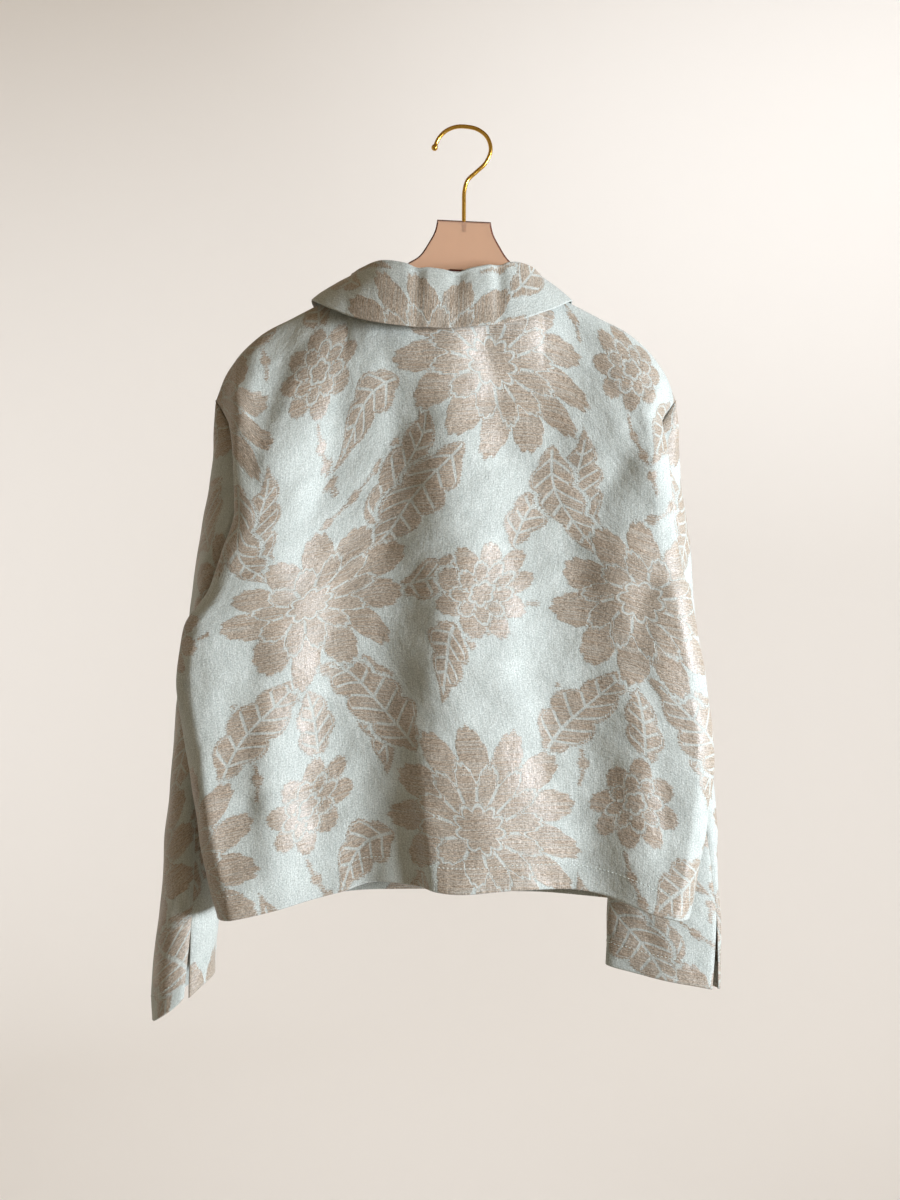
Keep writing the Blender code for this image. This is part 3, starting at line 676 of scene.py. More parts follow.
def panel_surface(table, at_back, share, down):
    """Points of the back or the fronts at shares across and shares down from shoulder to hem."""
    level = SHOULDER_TIP_Z + (SIDE_HEM_Z - SHOULDER_TIP_Z) * down
    top_z, top_y = top_edge(read_table(table, np.full_like(share, SHOULDER_TIP_Z), share)[..., 0], at_back)
    hem_x = read_table(table, np.full_like(share, SIDE_HEM_Z), share)[..., 0]
    hem_z = smooth(hem_x, column_of(HEMS, "x"), column_of(HEMS, "back" if at_back else "front"))
    z = level + (top_z - SHOULDER_TIP_Z) * (1 - down) + (hem_z - SIDE_HEM_Z) * down**HEM_POWER
    flat = read_table(table, z, share)
    roof_drop = BACK_ROOF_DROP if at_back else FRONT_ROOF_DROP
    power = BACK_ROOF_POWER if at_back else FRONT_ROOF_POWER
    roof = (1 - (1 - np.clip((top_z - z) / roof_drop, 0.0, 1.0)) ** power) ** (1 / power)
    depth = top_y + (flat[..., 1] - top_y) * roof
    if at_back:
        depth = depth - fold_depth(flat[..., 0], z) * ease(np.minimum(share, 1 - share) / SEAM_CALM)
    return np.stack((flat[..., 0], depth, z), axis=-1)


def grid_normals(points, outward):
    """Unit normals of a grid of points; outward is 1 or -1, for the side that faces out."""
    across = np.gradient(points, axis=1)
    down = np.gradient(points, axis=0)
    return unit(np.cross(down, across) * outward)


def lengths_along(points, axis):
    """Length from the first point on, along the rows or columns of a grid."""
    steps = np.linalg.norm(np.diff(points, axis=axis), axis=-1)
    pad = [(0, 0), (0, 0)]
    pad[axis] = (1, 0)
    return np.cumsum(np.pad(steps, pad), axis=axis)


def flat_cloth(points):
    """Flat places of a grid's cloth: u from its middle column, v up from its bottom row."""
    u = lengths_along(points, 1)
    v = lengths_along(points, 0)
    return np.stack((u - u[:, -1:] / 2, v[-1:] - v), axis=-1)


def crease_depth(piece, flat):
    """How deep the listed creases of a piece go in at its flat places."""
    total = np.zeros(flat.shape[:2])
    for crease in CREASES:
        if crease.piece != piece:
            continue
        top = np.array((crease.u_top, crease.v_top))
        run = np.array((crease.u_bottom, crease.v_bottom)) - top
        t = np.clip((flat - top) @ run / (run @ run), 0.0, 1.0)
        away = np.linalg.norm(flat - top - t[..., None] * run, axis=-1)
        total += crease.depth * np.exp(-((away / crease.width) ** 2))
    return total


def soft_waves(flat, shift):
    """Height of the cloth's all-over soft waves at its flat places."""
    total = np.zeros(flat.shape[:2])
    for wave in WAVES:
        heading = math.radians(wave.heading)
        run = (flat[..., 0] + shift.u) * math.cos(heading) + (flat[..., 1] + shift.v) * math.sin(heading)
        total += wave.height * np.sin(2 * math.pi * run / wave.length + wave.phase)
    return total


def seam_distance(points, seams):
    """Distance of a grid's points from those of its edges that are sewn on: top, left or right."""
    down = lengths_along(points, 0)
    across = lengths_along(points, 1)
    away = {"top": down, "left": across, "right": across[:, -1:] - across}
    return np.minimum.reduce([away[seam] for seam in seams])


def loosen(piece, points, outward, seams):
    """Grid of a piece with its creases and soft waves, calm at its seams, which sink in a little."""
    flat = flat_cloth(points)
    away = seam_distance(points, seams)
    lift = soft_waves(flat, SHIFTS[piece]) - crease_depth(piece, flat)
    lift = lift * ease(away / SEAM_QUIET) - SEAM_DIP * np.exp(-((away / SEAM_DIP_WIDTH) ** 2))
    return points + grid_normals(points, outward) * lift[..., None], flat


def turn_edge(points, flat, outward, axis, at_end, reach, gap):
    """Grid with one edge folded inwards: round the fold, then back inside as a facing."""
    if axis == 1:
        points = points.swapaxes(0, 1)
        turned, spread = turn_edge(points, flat.swapaxes(0, 1), -outward, 0, at_end, reach, gap)
        return turned.swapaxes(0, 1), spread.swapaxes(0, 1)
    if not at_end:
        turned, spread = turn_edge(points[::-1], flat[::-1], -outward, 0, True, reach, gap)
        return turned[::-1], spread[::-1]
    inwards = -grid_normals(points, outward)
    edge_run = unit(points[-1] - points[-2])
    fold = points[-1] + edge_run * gap / 2 + inwards[-1] * gap / 2
    spacing = float(np.median(np.linalg.norm(points[-1] - points[-2], axis=-1)))
    count = max(int(round(reach / spacing)), 1)
    back_rows = sorted({*range(0, count, FACING_STEP), count})
    inside = [points[-1 - k] + inwards[-1 - k] * gap for k in back_rows]
    beyond = [2 * flat[-1] - flat[-1 - k] for k in back_rows]
    return (
        np.concatenate((points, fold[None], np.array(inside))),
        np.concatenate((flat, flat[-1:], np.array(beyond))),
    )


def wrapped(value, width):
    """A place in the repeat, counted from its middle."""
    return (value + width / 2) % width - width / 2


def flower_fields(flower, u, v):
    """A flower's edge, its two inner rings and the lines between its petals, as distances."""
    du = wrapped(u - flower.u, REPEAT_U)
    dv = wrapped(v - flower.v, REPEAT_V)
    r = np.hypot(du, dv)
    a = np.arctan2(dv, du) + flower.turn
    outer = np.cos(flower.petals * a / 2)
    inner = np.sin(flower.petals * a / 2)
    middle = np.cos((flower.petals - HEART_FEWER) * a / 2)
    teeth = np.abs(np.cos(TEETH_PER_PETAL * flower.petals * a)) * TOOTH_HEIGHT
    edge = r - flower.size * (OUTER_PETALS.root + OUTER_PETALS.tip * np.abs(outer) ** PETAL_ROUND + teeth)
    ring = r - flower.size * (INNER_PETALS.root + INNER_PETALS.tip * np.abs(inner) ** PETAL_ROUND + teeth)
    heart = r - flower.size * (HEART_PETALS.root + HEART_PETALS.tip * np.abs(middle) ** PETAL_ROUND)
    spoke = np.where(ring > 0, outer, inner) * r * 2 / flower.petals
    spoke = np.where((heart > LINE_CLEAR) & (np.abs(ring) > LINE_CLEAR), spoke, FIELD_LIMIT)
    return edge, ring, heart, spoke


def leaf_fields(leaf, u, v):
    """A leaf's scalloped edge, its middle vein and its side ribs, as distances."""
    heading = math.radians(leaf.heading)
    middle_u = leaf.u + leaf.length / 2 * math.cos(heading)
    middle_v = leaf.v + leaf.length / 2 * math.sin(heading)
    du = wrapped(u - middle_u, REPEAT_U)
    dv = wrapped(v - middle_v, REPEAT_V)
    x = du * math.cos(heading) + dv * math.sin(heading) + leaf.length / 2
    y = dv * math.cos(heading) - du * math.sin(heading) - leaf.bend * x**2 / leaf.length
    t = np.clip(x / leaf.length, 0.0, 1.0)
    lobe = np.abs(np.cos(leaf.lobes * math.pi * t + LOBE_STAGGER * np.sign(y))) ** LOBE_ROUND
    half = leaf.width * np.sin(math.pi * t**LEAF_FULLNESS) * (1 - LOBE_DEPTH + LOBE_DEPTH * lobe)
    edge = np.maximum(np.abs(y) - half, np.maximum(-x, x - leaf.length))
    inside = edge < -LEAF_MARGIN
    vein = np.where(inside & (t < VEIN_END), y, FIELD_LIMIT)
    rib = np.sin(math.pi * (2 * leaf.lobes * t - RIB_SLANT * np.abs(y) / leaf.width))
    rib = np.where(inside & (t < RIB_END), rib * leaf.length / (2 * math.pi * leaf.lobes), FIELD_LIMIT)
    return edge, vein, rib


def stem_field(stem, u, v):
    """Distance to a stem with berries along it."""
    heading = math.radians(stem.heading)
    field = np.full(u.shape, FIELD_LIMIT)
    count = int(stem.length / STEM_STEP)
    for k in range(count + 1):
        x = stem.length * k / count
        y = stem.bend * x**2 / stem.length
        at_u = stem.u + x * math.cos(heading) - y * math.sin(heading)
        at_v = stem.v + x * math.sin(heading) + y * math.cos(heading)
        away = np.hypot(wrapped(u - at_u, REPEAT_U), wrapped(v - at_v, REPEAT_V))
        berry = abs(x % BERRY_STEP) < STEM_STEP and x > BERRY_STEP / 2
        field = np.minimum(field, away - (BERRY_RADIUS if berry else STEM_HALF_WIDTH))
    return field


def floral_fields(flat, shift):
    """The jacquard's drawing at flat places: distance to its figures, and to their inner lines."""
    u = flat[..., 0] + shift.u
    v = flat[..., 1] + shift.v
    for drift in DRIFTS:
        bend = drift.size * np.sin(2 * math.pi * (v if drift.moves_u else u) / drift.length + drift.phase)
        u, v = (u + bend, v) if drift.moves_u else (u, v + bend)
    figure = rings = hearts = spokes = veins = ribs = np.full(u.shape, FIELD_LIMIT)
    for flower in FLOWERS:
        edge, ring, heart, spoke = flower_fields(flower, u, v)
        there = (edge < 0) & (figure > 0)
        rings = np.where(there, ring, rings)
        hearts = np.where(there, heart, hearts)
        spokes = np.where(there, spoke, spokes)
        figure = np.minimum(figure, np.maximum(edge, MOTIF_GAP - figure))
    for leaf in LEAVES:
        edge, vein, rib = leaf_fields(leaf, u, v)
        edge = np.maximum(edge, MOTIF_GAP - figure)
        veins = np.where(edge < 0, vein, veins)
        ribs = np.where(edge < 0, rib, ribs)
        figure = np.minimum(figure, edge)
    for stem in STEMS:
        figure = np.minimum(figure, np.maximum(stem_field(stem, u, v), MOTIF_GAP - figure))
    bloom = np.stack((rings, hearts, spokes), axis=-1)
    foliage = np.stack((figure, veins, ribs), axis=-1)
    return np.clip(bloom, -FIELD_LIMIT, FIELD_LIMIT), np.clip(foliage, -FIELD_LIMIT, FIELD_LIMIT)


def link_object(name, mesh, *materials):
    """Object of a mesh in the scene, shaded smooth, with its materials."""
    mesh.shade_smooth()
    for material in materials:
        mesh.materials.append(material)
    obj = bpy.data.objects.new(name, mesh)
    bpy.context.scene.collection.objects.link(obj)
    return obj


def add_cloth(name, points, flat, outward, material):
    """Cloth piece from a grid of points, with its flat places and floral drawing on its corners."""
    rows, columns = points.shape[:2]
    ids = np.arange(rows * columns).reshape(rows, columns)
    corners = [(slice(0, -1), slice(0, -1)), (slice(1, None), slice(0, -1))]
    corners += [(slice(1, None), slice(1, None)), (slice(0, -1), slice(1, None))]
    if outward < 0:
        corners.reverse()
    faces = np.stack([ids[c].ravel() for c in corners], axis=1)
    mesh = bpy.data.meshes.new(name)
    mesh.from_pydata(points.reshape(-1, 3) * MM, [], faces)
    uv = mesh.uv_layers.new(name="flat")
    spread = np.stack([flat[c].reshape(-1, 2) for c in corners], axis=1)
    uv.data.foreach_set("uv", (spread * MM).ravel())
    bloom, foliage = floral_fields(flat, SHIFTS[name])
    for title, field in (("bloom", bloom), ("foliage", foliage)):
        layer = mesh.attributes.new(title, "FLOAT_VECTOR", "CORNER")
        values = np.stack([field[c].reshape(-1, 3) for c in corners], axis=1)
        layer.data.foreach_set("vector", values.ravel())
    mesh.update()
    return link_object(name + "_cloth", mesh, material)


def settle(obj, node):
    """A piece that stands for a node of the part: hung from the root, with the node's own mesh hidden."""
    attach(obj, "root")
    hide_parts(node)
    return obj


def declare_sheet(obj):
    """Gives back a cloth piece unchanged."""
    return obj


def panel_grid(at_back, shares, rows):
    """Grid of points of the back or the fronts, rows from the top edge to the hem."""
    down, share = np.meshgrid(np.linspace(0.0, 1.0, rows + 1), shares, indexing="ij")
    return panel_surface(section_table(at_back), at_back, share, down)


def finish_edges(points, flat, outward, turns):
    """Grid with its edges folded inwards in turn: axis, whether at the end, reach and fold."""
    for axis, at_end, reach, fold in turns:
        points, flat = turn_edge(points, flat, outward, axis, at_end, reach, fold)
    return points, flat


def line_at_height(points, flat, outward, height):
    """Points and normals of a line across a grid, at one height above its bottom edge."""
    normals = grid_normals(points, outward)
    row = np.argmin(np.abs(flat[..., 1] - height), axis=0)
    column = np.arange(points.shape[1])
    return points[row, column], normals[row, column]


def ring_mesh(name, bars):
    """Mesh of bars, each of rings of points in millimetres that turn right-handed along it, with caps."""
    rings, sides = bars.shape[1:3]
    faces = []
    for ids in np.arange(bars[..., 0].size).reshape(-1, rings, sides):
        following = np.roll(ids, -1, axis=1)
        walls = np.stack((ids[:-1], following[:-1], following[1:], ids[1:]), axis=-1)
        faces += [ids[0][::-1].tolist(), ids[-1].tolist(), *walls.reshape(-1, 4).tolist()]
    mesh = bpy.data.meshes.new(name)
    mesh.from_pydata(bars.reshape(-1, 3) * MM, [], faces)
    return mesh


def add_stitches(name, lines, thread, material):
    """Rows of sewing stitches that lie along lines of points on the cloth."""
    turns = np.linspace(0.0, 2 * math.pi, STITCH_SIDES + 1)[:-1, None]
    offsets = np.linspace(-0.5, 0.5, STITCH_RINGS)[:, None, None]
    full = np.sqrt(np.maximum(1.0 - (2 * offsets) ** 2, STITCH_TIP))
    stitches = []
    for line, normals in lines:
        lengths = path_lengths(line)
        for at in np.arange(STITCH_PITCH, lengths[-1] - STITCH_PITCH, STITCH_PITCH):
            centre = on_path(line, lengths, at)
            along = unit(on_path(line, lengths, at + STITCH_LENGTH) - centre)
            out = unit(on_path(normals, lengths, at))
            rim = np.cross(along, out) * np.cos(turns) - out * np.sin(turns)
            middle = centre + along * offsets * STITCH_LENGTH + out * (full - STITCH_SINK) * thread
            stitches.append(middle + full * thread * rim)
    obj = link_object(name, ring_mesh(name, np.array(stitches)), material)
    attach(obj, "root")
    return obj


def sew_sheet(piece, points, outward, seams, sides, row, sewing):
    """Cloth piece with its creases, its edges folded inwards, and a row of stitches over its hem."""
    points, flat = loosen(piece, points, outward, seams)
    line = line_at_height(points, flat, outward, HEM_STITCHES)
    turns = ((0, True, HEM_DEPTH, HEM_FOLD), (0, False, SEAM_INSIDE, SEAM_FOLD), *sides)
    points, flat = finish_edges(points, flat, outward, turns)
    cloth = settle(add_cloth(piece, points, flat, outward, sewing.cloth), piece)
    stitches = add_stitches(f"{piece}_{row}_stitches", [line], sewing.radius, sewing.thread)
    return declare_sheet(cloth)


def make_back(sewing):
    """Back panel with its hanging folds, turned hem and row of hem stitches."""
    points = panel_grid(True, np.linspace(0.0, 1.0, BACK_COLUMNS + 1), BACK_ROWS)
    sides = ((1, False, SEAM_INSIDE, SEAM_FOLD), (1, True, SEAM_INSIDE, SEAM_FOLD))
    return sew_sheet("back", points, 1, ("top", "left", "right"), sides, "hem", sewing)


def front_grid(side):
    """Grid of one front: its own half of the fronts, run past the middle by the lap."""
    first, last = (0.0, 0.5) if side > 0 else (0.5, 1.0)
    half = panel_grid(False, np.linspace(first, last, FRONT_COLUMNS + 1), FRONT_ROWS)
    reach = np.linspace(0.0, FRONT_LAP, LAP_COLUMNS + 1)[1:]
    middle = half[:, -1:] if side > 0 else half[:, :1]
    lap = np.repeat(middle, LAP_COLUMNS, axis=1)
    lap[..., 0] -= side * reach[None, :]
    if side > 0:
        return np.concatenate((half, lap), axis=1)
    grid = np.concatenate((lap[:, ::-1], half), axis=1)
    to_middle = np.maximum(middle[..., 0] - grid[..., 0], 0.0)
    grid[..., 1] -= LAP_RISE * ease((LAP_START - to_middle) / LAP_BLEND)
    return grid


def make_front(side, sewing):
    """One front panel with its facing, turned hem and hem stitches."""
    name = "front_left" if side > 0 else "front_right"
    seams = ("top", "left") if side > 0 else ("top", "right")
    sides = ((1, side < 0, SEAM_INSIDE, SEAM_FOLD), (1, side > 0, FACING, SEAM_FOLD))
    return sew_sheet(name, front_grid(side), -1, seams, sides, "hem", sewing)


def sleeve_grid(sleeve):
    """Grid of a sleeve's points, from the armhole to the cuff and once round from the vent."""
    vent = math.radians(sleeve.vent_angle)
    theta = vent + np.linspace(0.0, 2 * math.pi, SLEEVE_COLUMNS + 1)
    level = SHOULDER_TIP_Z + (UNDERARM_Z - SHOULDER_TIP_Z) * (1 - np.cos(theta)) / 2
    down = (SHOULDER_TIP_Z - level) / (SHOULDER_TIP_Z - SIDE_HEM_Z)
    edge = np.full_like(down, 0.0 if sleeve.side > 0 else 1.0)
    on_back = panel_surface(section_table(True), True, edge, down)
    on_front = panel_surface(section_table(False), False, edge, down)
    start = np.where((np.sin(theta) >= 0)[:, None], on_back, on_front)
    bottom = sleeve.cuff_z - sleeve.slant * np.cos(theta - math.radians(sleeve.slant_to))
    share = np.linspace(0.0, 1.0, SLEEVE_ROWS + 1)[:, None]
    z = start[:, 2] + (bottom - start[:, 2]) * share
    from_vent = np.degrees(np.minimum(theta - vent, vent + 2 * math.pi - theta))
    opened = sleeve.vent_open * np.clip((share - 1) / sleeve.vent_share + 1, 0.0, 1.0)
    spread = opened * np.clip(1 - from_vent / VENT_REACH, 0.0, 1.0) ** 2
    angle = theta + np.radians(spread) * np.where(theta - vent < math.pi, 1, -1)
    values = {field: at_level(sleeve.rings, field, z) for field in Ring._fields[1:]}
    turn = np.radians(values["turn"])
    wide = np.hypot(values["thin"] * np.cos(turn), values["long"] * np.sin(turn))
    out = values["thin"] * np.cos(angle)
    back = values["long"] * np.sin(angle)
    x = sleeve.side * (values["outer"] - wide + out * np.cos(turn) + back * np.sin(turn))
    y = values["depth"] + back * np.cos(turn) - out * np.sin(turn)
    reach = np.minimum(share / SLEEVE_REACH, 1.0)
    leave = reach * (2 - reach)
    x = start[:, 0] + (x - start[:, 0]) * np.sqrt(leave)
    y = start[:, 1] + (y - start[:, 1]) * leave
    return np.stack((x, y, z), axis=-1)


def make_sleeve(sleeve, sewing):
    """One sleeve with its vent, turned cuff and row of cuff stitches."""
    seams = ("top", "left", "right")
    sides = ((1, False, VENT_FACING, SEAM_FOLD), (1, True, VENT_FACING, SEAM_FOLD))
    return sew_sheet(sleeve.name, sleeve_grid(sleeve), sleeve.side, seams, sides, "cuff", sewing)


def collar_grid():
    """Grid of the collar: rows from the neck seam over the roll to the edge, along the neck."""
    end = 180.0 - COLLAR_END_ANGLE
    degrees = np.linspace(-end, end, COLLAR_COLUMNS + 1)
    x = BODY_MIDDLE - NECK_HALF_WIDTH * np.sin(np.radians(degrees))
    at_back = np.abs(degrees) < 90
    back_z, back_y = top_edge(x, True)
    front_z, front_y = top_edge(x, False)
    z = np.minimum(np.where(at_back, back_z, front_z), NECK_SHOULDER_Z)
    y = np.where(at_back, back_y, front_y)
    depth = np.where(at_back, NECK_BACK_DEPTH, -NECK_FRONT_DEPTH)
    across = (x - BODY_MIDDLE) / NECK_HALF_WIDTH**2
    outward = unit(np.stack((across, y / depth**2, np.zeros_like(x)), axis=-1))
    seam = np.stack((x, y, z + COLLAR_GAP), axis=-1) - outward * CLOTH / 2
    places = column_of(STATIONS, "angle")
    at = {f: smooth(np.abs(degrees), places, column_of(STATIONS, f))[:, None] for f in Station._fields[1:]}
    up = np.array((0.0, 0.0, 1.0))
    half = ROLL_WIDTH / 2
    roll = seam + outward * at["roll_out"] + up * at["roll_up"]
    edge = seam + outward * at["edge_out"] + up * at["edge_up"]
    edge[:, 0] += np.sign(x - BODY_MIDDLE) * at["spread"][:, 0] + COLLAR_LEAN
    rows = [seam + (roll - outward * half - seam) * t for t in np.linspace(0, 1, STAND_ROWS + 1)]
    for a in np.linspace(0, math.pi, ROLL_ROWS + 1)[1:]:
        rows.append(roll - outward * half * math.cos(a) + up * half * math.sin(a))
    top = roll + outward * half
    for t in np.linspace(0, 1, FALL_ROWS + 1)[1:]:
        rows.append(top + (edge - top) * t + outward * COLLAR_BELLY * math.sin(math.pi * t))
    grid = np.array(rows)
    return grid + grid_normals(grid, 1) * CLOTH / 2


def make_collar(material):
    """Turned-down collar with soft flutes over its roll and a doubled edge."""
    points = collar_grid()
    flat = flat_cloth(points)[..., ::-1]
    normals = grid_normals(points, 1)
    on_back = ease(points[..., 1] / NECK_BACK_DEPTH)
    row = np.arange(points.shape[0])[:, None] / (points.shape[0] - 1)
    sink = np.zeros(points.shape[:2])
    press = np.zeros(points.shape[:2])
    for flute in FLUTES:
        swell = on_back * np.exp(-(((points[..., 0] - flute.x) / flute.width) ** 2))
        sink += flute.depth * swell
        press += flute.press * swell
    sink *= ease(row / FLUTE_START) * (1 - ease((row - FLUTE_TOP) / FLUTE_FADE))
    press *= ease((row - FLUTE_START) / FLUTE_RISE) * (1 - row / 2)
    waves = soft_waves(flat, SHIFTS["collar"]) * ease(row / FLUTE_TOP)
    points = points + normals * (waves * COLLAR_CALM - press)[..., None]
    points[..., 2] -= sink
    turns = (
        (0, True, COLLAR_UNDER, COLLAR_FOLD),
        (1, False, COLLAR_UNDER, COLLAR_FOLD),
        (1, True, COLLAR_UNDER, COLLAR_FOLD),
    )
    points, flat = finish_edges(points, flat, 1, turns)
    collar = settle(add_cloth("collar", points, flat, 1, material), "collar")
    return declare_sheet(collar)


def tube(name, path, radii, sides, material):
    """Round bar along a path in the plane Y = 0, with its own radius at each point."""
    along = unit(np.gradient(path, axis=0))
    side = np.array((0.0, 1.0, 0.0))
    up = np.cross(along, side)
    turns = np.linspace(0.0, 2 * math.pi, sides + 1)[:-1]
    ring = side * np.cos(turns)[:, None]
    points = path[:, None] + radii[:, None, None] * (ring[None] + up[:, None] * np.sin(turns)[:, None])
    return link_object(name, ring_mesh(name, points[None]), material)


def tilted(points):
    """The hanger's own outline, one arm a little higher than the other."""
    points = np.asarray(points, dtype=float)
    level = points[:, 1] + points[:, 0] * math.tan(PLATE_TILT)
    return np.stack((points[:, 0] + PLATE_MIDDLE, level), axis=1)


def make_plate(face_material, painted_edge_material):
    """Acrylic plate: its smooth outline with small bevels, and the bore for the hook."""
    half = np.array([(p.out, p.z) for p in PLATE_OUTLINE], dtype=float)
    right = even_curve(half, np.linspace(0.0, 1.0, PLATE_STEPS + 1))
    outline = tilted(np.concatenate((right, right[::-1] * (-1, 1))))
    ahead = np.roll(outline, -1, axis=0) - np.roll(outline, 1, axis=0)
    inward = unit(np.stack((ahead[:, 1], -ahead[:, 0]), axis=1))
    levels = (
        (PLATE_THICK / 2, PLATE_BEVEL),
        (PLATE_THICK / 2 - PLATE_BEVEL, 0.0),
        (PLATE_BEVEL - PLATE_THICK / 2, 0.0),
        (-PLATE_THICK / 2, PLATE_BEVEL),
    )
    rings = [np.insert(outline + inward * inset, 1, depth, axis=1) for depth, inset in levels]
    mesh = ring_mesh("hanger_plate_acrylic", np.array(rings)[None])
    plate = link_object("hanger_plate_acrylic", mesh, face_material, painted_edge_material)
    # The side faces take the darker edge material: painted shade for light absorbed along the tinted plate
    for polygon in mesh.polygons[2:]:
        polygon.material_index = 1
    top = PLATE_OUTLINE[0].z
    bore = np.array([(PLATE_MIDDLE, 0.0, top - BORE_DEPTH), (PLATE_MIDDLE, 0.0, top + BORE_DEPTH)])
    cutter = tube("bore_cutter", bore, np.full(2, BORE_RADIUS), WIRE_SIDES, face_material)
    cut = plate.modifiers.new("bore", "BOOLEAN")
    cut.operation = "DIFFERENCE"
    cut.object = cutter
    bpy.context.view_layer.update()
    shaped = plate.evaluated_get(bpy.context.evaluated_depsgraph_get())
    plate.data = bpy.data.meshes.new_from_object(shaped)
    plate.modifiers.clear()
    bpy.data.objects.remove(cutter, do_unlink=True)
    plate.data.set_sharp_from_angle(angle=PLATE_SHARP)
    return settle(plate, "hanger_plate")


def make_hook(material):
    """Brass hook: a bent wire from a ball tip over the peg and down into the plate's bore."""
    shaft_end = PLATE_OUTLINE[0].z - BORE_DEPTH + SHAFT_GAP
    path = [(p.x, 0.0, p.z) for p in HOOK_PATH] + [(PLATE_MIDDLE, 0.0, shaft_end)]
    along = even_curve(path, np.linspace(0.0, 1.0, WIRE_STEPS + 1))
    outward = unit(along[0] - along[1])
    turns = np.linspace(BALL_START, BALL_END, BALL_STEPS)
    ball = along[0] + TIP_RADIUS * np.cos(turns)[:, None] * outward
    clear = np.linalg.norm(along - along[0], axis=1) > TIP_RADIUS
    wire = along[clear]
    radii = np.concatenate((TIP_RADIUS * np.sin(turns), np.full(len(wire), WIRE_RADIUS)))
    hook = tube("hanger_hook_brass", np.concatenate((ball, wire)), radii, WIRE_SIDES, material)
    return settle(hook, "hanger_hook")


def button_rings():
    """Rings of a round button in its own axes: a rimmed disc with a shallow well."""
    turns = np.linspace(0.0, 2 * math.pi, BUTTON_SIDES + 1)[:-1]
    rings = []
    for radius, height in BUTTON_PROFILE:
        ring = np.stack((np.cos(turns), np.sin(turns), np.zeros_like(turns)), axis=1)
        rings.append(BUTTON_RADIUS * radius * ring + (0.0, 0.0, BUTTON_THICK * height))
    return np.array(rings)


def make_buttons(horn, thread_material):
    """Five horn buttons on the fronts' closing, each on its own node's place, and their thread."""
    lines = []
    for number in range(1, BUTTON_COUNT + 1):
        node = f"button_{number}"
        low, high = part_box(node)
        vertices = np.array([v.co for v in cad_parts[node].data.vertices], dtype=float)
        centre = (np.array(low) + np.array(high)) / 2 / MM
        spans = np.linalg.svd(vertices - vertices.mean(axis=0))[2]
        out = spans[2] * (-1 if spans[2][1] > 0 else 1)
        across = unit(np.array((1.0, 0.0, 0.0)) - out * out[0])
        down = np.cross(out, across)
        rings = button_rings() @ np.stack((across, down, out)) + centre - out * BUTTON_THICK / 2
        mesh = ring_mesh(f"horn_button_{number}", rings[None])
        button = link_object(f"horn_button_{number}", mesh, horn)
        mesh.set_sharp_from_angle(angle=PLATE_SHARP)
        settle(button, node)
        face = centre + out * (BUTTON_THICK / 2 - BUTTON_WELL)
        for way in (-1, 1):
            middle = face + down * way * BUTTON_STITCH_GAP / 2
            span = np.array((-STITCH_PITCH, STITCH_PITCH + BUTTON_THREAD))[:, None] * across
            lines.append((middle + span, np.repeat(out[None], len(span), axis=0)))
    add_stitches("button_thread", lines, BUTTON_THREAD, thread_material)


def linear(colour):
    """Linear red, green and blue of an sRGB hex colour."""
    parts = [int(colour[k : k + 2], 16) / 255 for k in (1, 3, 5)]
    return tuple(c / 12.92 if c <= 0.04045 else ((c + 0.055) / 1.055) ** 2.4 for c in parts)


def add_node(tree, kind, inputs=(), **settings):
    """Node with its settings, and its inputs, in order or by key, linked or set; gives its outputs."""
    node = tree.nodes.new("ShaderNode" + kind)
    for key, value in settings.items():
        setattr(node, key, value)
    for key, value in inputs.items() if isinstance(inputs, dict) else enumerate(inputs):
        if isinstance(value, bpy.types.NodeSocket):
            tree.links.new(value, node.inputs[key])
        else:
            node.inputs[key].default_value = value
    return node.outputs


def new_material(name, **surface):
    """Material with its surface shader's constant values set, its node tree and that shader."""
    material = bpy.data.materials.new(name)
    material.use_nodes = True
    shader = material.node_tree.nodes["Principled BSDF"]
    for key, value in surface.items():
        shader.inputs[key.replace("_", " ")].default_value = value
    return material, material.node_tree, shader


def grain(tree, place, along, across, detail):
    """Noise in a place's plane, with its grain's size in millimetres along u and along v."""
    scale = (1 / (along * MM), 1 / (across * MM), 1.0)
    spread = add_node(tree, "Mapping", {"Vector": place, "Scale": scale})[0]
    inputs = {"Vector": spread, "Scale": 1.0, "Detail": detail, "Roughness": 0.6}
    return add_node(tree, "TexNoise", inputs, noise_dimensions="2D")["Fac"]


def speckle(tree, size, **inputs):
    """Noise through a solid, with its grain's size in millimetres."""
    place = add_node(tree, "TexCoord")["Object"]
    return add_node(tree, "TexNoise", {"Vector": place, "Scale": 1 / (size * MM), **inputs})["Fac"]


